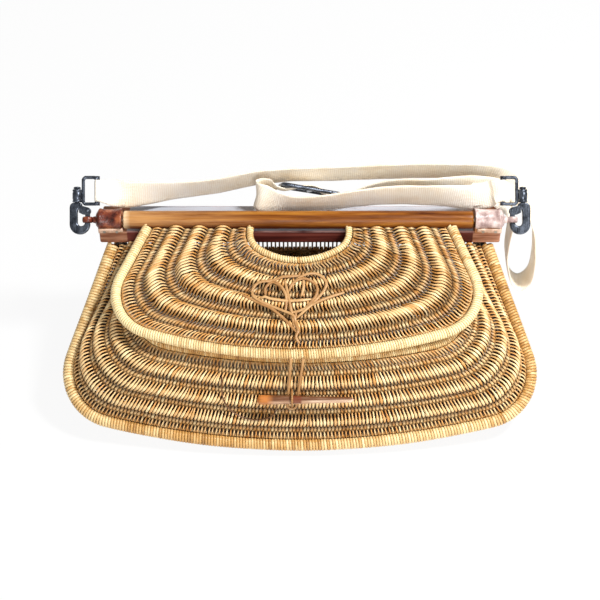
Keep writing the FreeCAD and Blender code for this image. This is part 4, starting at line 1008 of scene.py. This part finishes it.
def hasp():
    """A loop of cane from the lid's lip down behind the peg."""
    low, half = 38.5, 3.9
    lip = lid_place(np.array([[0, LID_REACH]]))[0] + np.array([0, OUT[1], -OUT[2]]) * 5.6
    tops = [np.array([-2.6 + s * 5.2, lip[1], lip[2]]) for s in (-1, 1)]
    feet = [on_wall(KEEPER_X + s * half, low, HASP_OUT) for s in (-1, 1)]
    turns = np.linspace(0.4, pi - 0.4, 7)
    bend = [on_wall(KEEPER_X - half * cos(a), low + half * sin(a), HASP_OUT) for a in turns]
    inside = [top + np.array([0, 5.5, -0.6]) for top in tops]
    middles = [(top + foot) / 2 + OUT * 0.5 for top, foot in zip(tops, feet)]
    path = [inside[0], tops[0], middles[0], feet[0]] + bend + [feet[1], middles[1], tops[1], inside[1]]
    path = smooth_line(path, 6)
    rod("hasp", path, LACE_R, LACE, "lid", "hasp_loop", -BACK, 10, 0.8, 0.5)


peg()
keeper()
hasp()


def wall_place(x, down, out):
    """A place over the collar's crests at a given X."""
    row = ROWS * (1 - down / np.linalg.norm(collar_run))
    curve = outline_curve(collar_places(row, 4.2 + out))
    middle = curve[SPAN_STEPS:-SPAN_STEPS]
    return np.array([x, np.interp(x, middle[:, 0], middle[:, 1]), np.interp(x, middle[:, 0], middle[:, 2])])


# The leash's route over the collar: across, down and out
LEASH = [
    (-66.0, 15.0, 0.9), (-66.6, 27.0, 0.9), (-65.0, 40.0, 0.9), (-58.0, 50.5, 0.9), (-46.0, 57.0, 0.9),
    (-33.0, 57.5, 0.9), (-23.0, 52.0, 1.2), (-19.5, 44.4, 3.0),
]
leash_points = [wall_place(*p) for p in LEASH]
leash_points.append(on_wall(-19.5, PEG_DOWN + 3.8 + 0.2, PEG_OUT))
leash_curve = bpy.data.curves.new("leash", "CURVE")
leash_curve.dimensions = "3D"
leash_curve.bevel_depth = 0.6 * MM
leash_curve.bevel_resolution = 3
leash_curve.use_fill_caps = True
spline = leash_curve.splines.new("NURBS")
spline.points.add(len(leash_points) - 1)
for point, place in zip(spline.points, leash_points):
    point.co = (*(place * MM), 1)
spline.order_u = 3
spline.use_endpoint_u = True
spline.resolution_u = 12
leash_curve.materials.append(LACE)
leash = add_object("leash_cord", leash_curve, "basket", "peg_leash")

# Lace knot on the lid: for each strip its tone, its height and places across the lid and down it
KNOT = [
    (0.52, 5.2, [(-41.9, 75), (-38, 68), (-33, 65.3), (-26, 64.5), (-21, 62.8), (-15, 60.5)]
     + [(-7, 59.8), (0.4, 59)]),
    (0.6, 5.4, [(-41.6, 74), (-39.2, 80), (-34, 84), (-26, 88), (-16, 92.4), (-5.7, 98), (-3.3, 105)]),
    (0.42, 5.0, [(-49, 77.6), (-41, 82), (-33, 86.7), (-24, 91.3), (-12.5, 101.6), (-2.7, 113.7)]),
    (0.5, 5.6, [(-27.7, 62), (-20.6, 65.6), (-15.2, 71.5), (-11.9, 79), (-11.8, 87.5), (-12.5, 94.3)]),
    (0.62, 5.3, [(-6.4, 67), (0.4, 60.5), (7.8, 57.5), (14.6, 57.5), (20.4, 61.7), (22.6, 67.7), (20, 74.6)]
     + [(14.6, 81.4), (10, 87.5), (4.5, 92.8), (-2.7, 99.7)]),
    (0.45, 5.7, [(-9.4, 74), (-6.4, 67), (-0.3, 63), (5.8, 62.8), (11.9, 66.2), (14.8, 71.5), (13.6, 79)]
     + [(9.5, 84.8), (4.5, 90.5)]),
    (0.8, 5.9, [(-33.8, 81.4), (-30, 80.3), (-24.7, 82), (-11, 83.8), (1.1, 83.5), (10.2, 81.8)]),
    (0.6, 5.5, [(38, 75.3), (28, 79), (16, 84.5), (6.5, 89.8), (-1.6, 93.6), (-9, 94.7)]),
    (0.7, 5.2, [(2.8, 60), (3.1, 70), (1.1, 79)]),
    (0.4, 5.1, [(-29.4, 78.4), (-29.7, 71.5), (-24.7, 65.8), (-19.2, 67.7), (-14.2, 73.8)]),
    (0.55, 5.3, [(-13, 63), (-11, 73.8), (-9, 84.5), (-7, 95), (-5.7, 102.7), (-4.3, 109.5)]),
    (0.5, 5.4, [(-3, 93.6), (-4.3, 102.7), (-1.6, 111.8), (-3.3, 118), (-0.6, 124)]),
]
STRIP_END = 4.6


def lace_strip(bundle, tone, rise, places):
    """A narrow strip of cane that weaves over and under its neighbours."""
    rows = [(x, along, rise + 0.45 * sin(1.9 * i + 7 * tone)) for i, (x, along) in enumerate(places)]
    rows[0] = (*places[0], STRIP_END)
    rows[-1] = (*places[-1], STRIP_END)
    rows = smooth_line(rows, 8)
    path = lid_place(rows[:, :2], rows[:, 2])
    step = np.arange(len(path))
    width = 1.3 * np.clip(0.6 + 0.1 * np.minimum(step, step[::-1]), 0, 1)
    # Its underside is darkened a little as painted shade.
    bundle.strand(path, LID_UP, width, 0.6, tone, 0.35, 8, 0.4)


lace = Bundle()
for strip in KNOT:
    lace_strip(lace, *strip)
lace.build("lace", LACE, "lid", "lace_knot")


# Snap hooks and frames, from rows of (u, b): outwards from the hook's middle, and along it
def plate(name, side, outline, half, bevel, body, node=None, n=0.0):
    """A bevelled plate in the leaning plane, inside a closed outline."""
    data = bpy.data.curves.new(name, "CURVE")
    data.dimensions = "2D"
    data.fill_mode = "BOTH"
    data.extrude = (half - bevel) * MM
    data.bevel_depth = bevel * MM
    data.bevel_resolution = 2
    data.offset = -bevel * MM
    spline = data.splines.new("POLY")
    spline.points.add(len(outline) - 1)
    for point, (u, b) in zip(spline.points, outline):
        point.co = (side * u * MM, b * MM, 0, 1)
    spline.use_cyclic_u = True
    data.materials.append(GUNMETAL)
    turned = Matrix((RIGHT, ALONG, -THROUGH)).transposed().to_4x4()
    place = Matrix.Translation(leaned(side * HOOK_X, n, 0) * MM) @ turned
    return add_object(name, data, body, node, place)


def bow(u, b, radius, start, stop, count):
    angles = np.linspace(radians(start), radians(stop), count)
    return [(u + radius * cos(a), b + radius * sin(a)) for a in angles]


def hook(side, body, gate_body):
    """A cast bow with cheeks for its gate, on a swivel's shank and button."""
    outline = bow(-6.75, -3.6, 2.25, 20, 178, 8) + bow(0, -4, 9, 180, 360, 26)
    outline += [(9, 10.5), (8.4, 13.2), (6.6, 14.8), (5, 15), (0.5, 15), (-1.4, 14.4), (-2.0, 13), (-2, 9.6)]
    outline += bow(0, 7.6, 1.9, 160, 40, 5) + [(2, 6), (2, -2.35)] + bow(-1.25, -2.35, 3.25, 0, -172, 16)
    plate(body + "_bow", side, outline, 2.5, 1.1, body, body)
    cheek = bow(-6.2, 7.6, 3.4, 100, 250, 10) + [(-2.6, 4.6), (0.6, 6.2), (0.6, 11.6), (-2, 12.2)]
    for k, n in enumerate((-1.9, 1.9)):
        plate(f"{body}_cheek_{k}", side, cheek, 0.6, 0.3, body, n=n)
    x = side * SWIVEL_X
    shank = np.array([leaned(x, 0, b) for b in (13.5, 20, 27.4)])
    rod(body + "_shank", shank, 2.0, GUNMETAL, body, None, RIGHT, 20)
    button = [(0, 0.4), (0, 2.9), (0.5, 3.3), (1.2, 3.2), (1.8, 2.3), (2.0, 0.4)]
    lathe(body + "_button", button, leaned(x, 0, 27.2), ALONG, GUNMETAL, body, None, 24)
    rivet = [(0, 0.2), (0, 1.0), (0.5, 1.35), (4.9, 1.35), (5.4, 1.0), (5.4, 0.2)]
    head = leaned(side * GATE_X, -2.7, 7.8)
    lathe(body + "_rivet", rivet, head, THROUGH, GUNMETAL, body, None, 16)
    gate = bow(-6.75, 7.8, 2.1, 180, 0, 12)
    gate += [(-4.6, 2), (-4.4, -2.1), (-5.2, -2.7), (-8.3, -2.7), (-9.0, -2.1)]
    plate(body + "_latch", side, gate, 1.2, 0.4, gate_body, gate_body)


hook(-1, "left_hook", "left_gate")
hook(1, "right_hook", "right_gate")


def strap_frame(side, node):
    """A flattened wire loop for the web, with a barrel that the hook turns in."""
    corners = [(-14.5, 15.6), (-13.6, 13.9), (-4.4, 13.9), (-2.9, 15.4), (-2.9, 35.6)]
    corners += [(-4.6, 37.3), (-12.6, 37.3), (-14.5, 35.6), (-14.5, 15.6)]
    line = [straight(a, np.array(b), 7)[:-1] for a, b in zip(corners, corners[1:])]
    path = [leaned(side * (HOOK_X + u), 0, b) for u, b in np.concatenate(line + [[corners[0]]])]
    band(node + "_loop", np.array(path), THROUGH, 1.5, 1.35, GUNMETAL, "strap", node)
    inner = np.array([leaned(side * WEB_BAR_X, 0, b) for b in (12.6, 20, 30, 38.4)])
    rod(node + "_bar", inner, 1.5, GUNMETAL, "strap", None, RIGHT)
    for k, b in enumerate((14.0, 37.2)):
        end = straight(*(leaned(side * (HOOK_X + u), 0, b) for u in (-16, -12.5)), 4)
        rod(f"{node}_end_{k}", end, 1.45, GUNMETAL, "strap", None, UP, 12)
    profile = [(0, 2.1), (0, 3.6), (0.5, 4.1), (1.2, 4.2), (2.2, 3.7), (3.2, 4.15), (8.2, 4.15)]
    profile += [(9.2, 3.7), (10.2, 4.2), (11.0, 4.05), (11.5, 3.5), (11.5, 2.1)]
    foot = leaned(side * SWIVEL_X, 0, 15.3)
    lathe(node + "_barrel", profile, foot, ALONG, GUNMETAL, "strap", None, 32)


strap_frame(-1, "left_frame")
strap_frame(1, "right_frame")

# Strap: rows of across, back and up as shares, tilt in degrees and, where it isn't 1, width share
OUTWARD_SHARES = [
    (-0.857, 0.46, 0.66, 50, 0.92), (-0.79, 0.5, 0.54, 76), (-0.673, 0.61, 0.5, 95),
    (-0.569, 0.7, 0.5, 106), (-0.469, 0.79, 0.49, 112), (-0.336, 0.89, 0.56, 113), (-0.207, 1.0, 0.69, 115),
    (-0.069, 1.11, 0.7, 117), (0.116, 1.21, 0.65, 116), (0.302, 1.26, 0.65, 115), (0.496, 1.29, 0.69, 114),
    (0.696, 1.29, 0.68, 113), (0.858, 1.24, 0.62, 103), (0.98, 1.17, 0.28, 76), (1.063, 1.13, -0.4, 48),
    (1.1, 1.12, -1.2, 28), (1.122, 1.13, -2.22, 12), (1.133, 1.15, -3.29, 4), (1.119, 1.17, -4.0, 0),
    (1.075, 1.18, -4.33, 0), (1.026, 1.18, -3.9, 0), (0.998, 1.16, -2.85, 4), (0.995, 1.08, -1.81, 15),
    (0.992, 0.97, -0.78, 35), (0.93, 0.87, 0.12, 65), (0.8, 0.82, 0.48, 88), (0.69, 0.82, 0.49, 98),
    (0.585, 0.82, 0.46, 104), (0.432, 0.82, 0.48, 110), (0.3, 0.82, 0.3, 122),
]
INWARD_SHARES = [
    (-0.13, 0.81, 0.58, 126), (-0.168, 0.75, 0.56, 104), (-0.19, 0.65, 0.52, 80), (-0.193, 0.53, 0.5, 64),
    (-0.17, 0.43, 0.44, 68), (-0.115, 0.39, 0.3, 88), (-0.03, 0.38, 0.22, 106), (0.09, 0.38, 0.29, 112),
    (0.187, 0.39, 0.39, 110), (0.292, 0.42, 0.5, 108), (0.433, 0.45, 0.56, 104), (0.56, 0.45, 0.56, 102),
    (0.68, 0.45, 0.52, 96), (0.78, 0.45, 0.46, 82), (0.857, 0.45, 0.58, 58, 0.9),
]
# Through the slide, over and under its bars: share of its length and side of its plane
THREADED = [(0.54, -1), (0.38, -1), (0.09, 1), (-0.09, 1), (-0.38, -1), (-0.54, -1)]
# Round a frame's bar: inwards from it and away from the camera; the tail lies behind the band
FOLDED = [(24, 8.2), (15, 6.6), (7, 5.0), (1.5, 3.2), (-1.6, 2.1), (-2.55, 0)]
FOLDED += [(-1.6, -2.1), (1.5, -2.3), (6.5, -0.6)]
BUCKLE_HALF = 27.0
BUCKLE_AT = np.array([9.0, BAR_Y + 31.0, BAR_Z + 9.5])
BUCKLE_TURN = np.array(Matrix.Rotation(radians(12), 3, "Y") @ Matrix.Rotation(radians(49), 3, "X"))


def strap_row(x, back, up, tilt, width=1.0):
    """Centre, direction across the web and half width."""
    centre = [x * HOOK_X, BAR_Y + back * (BOARD_BACK - BOARD_FRONT), BAR_Z + up * WEB_WIDE]
    turn = radians(tilt)
    return np.r_[centre, 0, cos(turn), sin(turn), WEB_WIDE / 2 * width]


def end_rows(side):
    """The web's end: doubled back, round the frame's bar and out again."""
    rows = []
    for inward, behind in FOLDED:
        centre = leaned(side * (WEB_BAR_X - inward), behind, 25.6 - 0.12 * max(inward, 0))
        rows.append(np.r_[centre, ALONG, 9.6 if abs(inward) < 6 else 10.4])
    return rows


def strap_rows():
    rows = end_rows(-1) + [strap_row(*shares) for shares in OUTWARD_SHARES]
    for share, way in THREADED:
        centre = BUCKLE_AT + BUCKLE_TURN @ np.array([share * 2 * BUCKLE_HALF, way * 2.85, 0])
        rows.append(np.r_[centre, BUCKLE_TURN @ UP, WEB_WIDE / 2])
    return rows + [strap_row(*shares) for shares in INWARD_SHARES] + end_rows(1)[::-1]


def strap_mesh(line):
    """A thin band with slightly rippled faces and a map for its weave."""
    centre, across, half = line[:, :3], line[:, 3:6], line[:, 6]
    along = unit(np.gradient(centre, axis=0))
    across = unit(across - along * (across * along).sum(1, keepdims=True))
    face = unit(np.cross(along, across))
    way = travelled(centre)
    ripple = 0.35 * np.sin(way * 0.11) + 0.2 * np.sin(way * 0.23 + 1)
    spread = np.linspace(-1, 1, 13)
    verts, uvs = [], []
    for side, order in ((1, spread), (-1, spread[::-1])):
        for t in order:
            rise = side * 0.85 * (1 - abs(t) ** 8 * 0.6) + ripple * (t * t - 0.4)
            verts.append(centre + across * (half * t)[:, None] + face * rise[:, None])
            uvs.append(np.stack([way, half * t], 1))
    rows, ring = len(centre), len(verts)
    verts = np.stack(verts, 1).reshape(-1, 3)
    uvs = np.stack(uvs, 1).reshape(-1, 2)
    faces = grid_faces(rows, ring) + [face[::-1] for face in end_faces(rows, ring)]
    obj = add_mesh("strap", verts, faces, WEBBING, "strap", "strap_webbing")
    layer = obj.data.uv_layers.new(name="cloth")
    index = np.zeros(len(obj.data.loops), int)
    obj.data.loops.foreach_get("vertex_index", index)
    layer.data.foreach_set("uv", (uvs[index] * MM).ravel())
    return obj


strap_line = smooth_line(strap_rows(), 10)
strap = strap_mesh(strap_line)


def slide_buckle():
    """A two-slot slide: rounded ends and a middle bar."""
    half_wide, corner, inset = 15.5, 4, 6
    path = []
    for sx, sy, start in ((1, 1, 0), (-1, 1, 90), (-1, -1, 180), (1, -1, 270)):
        path += bow(sx * (BUCKLE_HALF - inset), sy * (half_wide - inset), corner, start, start + 90, 8)
    path = resample([(x, 0, y) for x, y in path + path[:1]], 120)
    normal = BUCKLE_TURN @ BACK
    thick = 1.5 + 0.35 * np.clip(-path[:, 0] / BUCKLE_HALF, 0, 1)
    bundle = Bundle()
    bundle.strand(BUCKLE_AT + path @ BUCKLE_TURN.T, normal, 2.9, thick * 1.15, 0.5, 0.0, 12)
    middle = straight(-13 * UP, 13 * UP, 10)
    bundle.strand(BUCKLE_AT + middle @ BUCKLE_TURN.T, normal, 2.4, 1.5, 0.5, 0.0, 12)
    bundle.build("buckle", GUNMETAL, "buckle", "slide_buckle")


slide_buckle()


# Floor, backdrop and light
def stage():
    mesh = bpy.data.meshes.new("floor")
    mesh.from_pydata([(-6, -6, 0), (6, -6, 0), (6, 6, 0), (-6, 6, 0)], [], [[0, 1, 2, 3]])
    floor = bpy.data.objects.new("floor", mesh)
    bpy.context.collection.objects.link(floor)
    floor.location.z = -0.0006
    s = Shader("floor", 0.9, Specular_IOR_Level=0.0)
    s.colour((0.86, 0.86, 0.86, 1))
    glow = s.node("ShaderNodeEmission", Color=(1, 1, 1, 1), Strength=1.0)
    path = s.tree.nodes.new("ShaderNodeLightPath")
    blend = s.tree.nodes.new("ShaderNodeMixShader")
    s.feed(blend.inputs[0], s.times(path.outputs["Is Camera Ray"], 0.92))
    s.feed(blend.inputs[1], s.bsdf.outputs[0])
    s.feed(blend.inputs[2], glow.outputs[0])
    s.feed(s.tree.nodes["Material Output"].inputs["Surface"], blend.outputs[0])
    mesh.materials.append(s.material)
    world = bpy.data.worlds.new("world")
    bpy.context.scene.world = world
    world.use_nodes = True
    tree = world.node_tree
    background = tree.nodes["Background"]
    background.inputs["Color"].default_value = (1, 1, 1, 1)
    rays = tree.nodes.new("ShaderNodeLightPath")
    level = tree.nodes.new("ShaderNodeMapRange")
    level.inputs["To Min"].default_value = 0.26
    level.inputs["To Max"].default_value = 1.0
    tree.links.new(rays.outputs["Is Camera Ray"], level.inputs["Value"])
    tree.links.new(level.outputs[0], background.inputs["Strength"])
    for name, place, power, size in (
        ("key", (0.75, -0.25, 1.5), 33.0, 0.25),
        ("fill", (0.3, -1.7, 0.8), 15.0, 0.8),
    ):
        data = bpy.data.lights.new(name, "AREA")
        data.energy = power
        data.size = size
        lamp = bpy.data.objects.new(name, data)
        bpy.context.collection.objects.link(lamp)
        lamp.location = place
        lamp.rotation_euler = (Vector((0, 0, 0.08)) - lamp.location).to_track_quat("-Z", "Y").to_euler()


stage()
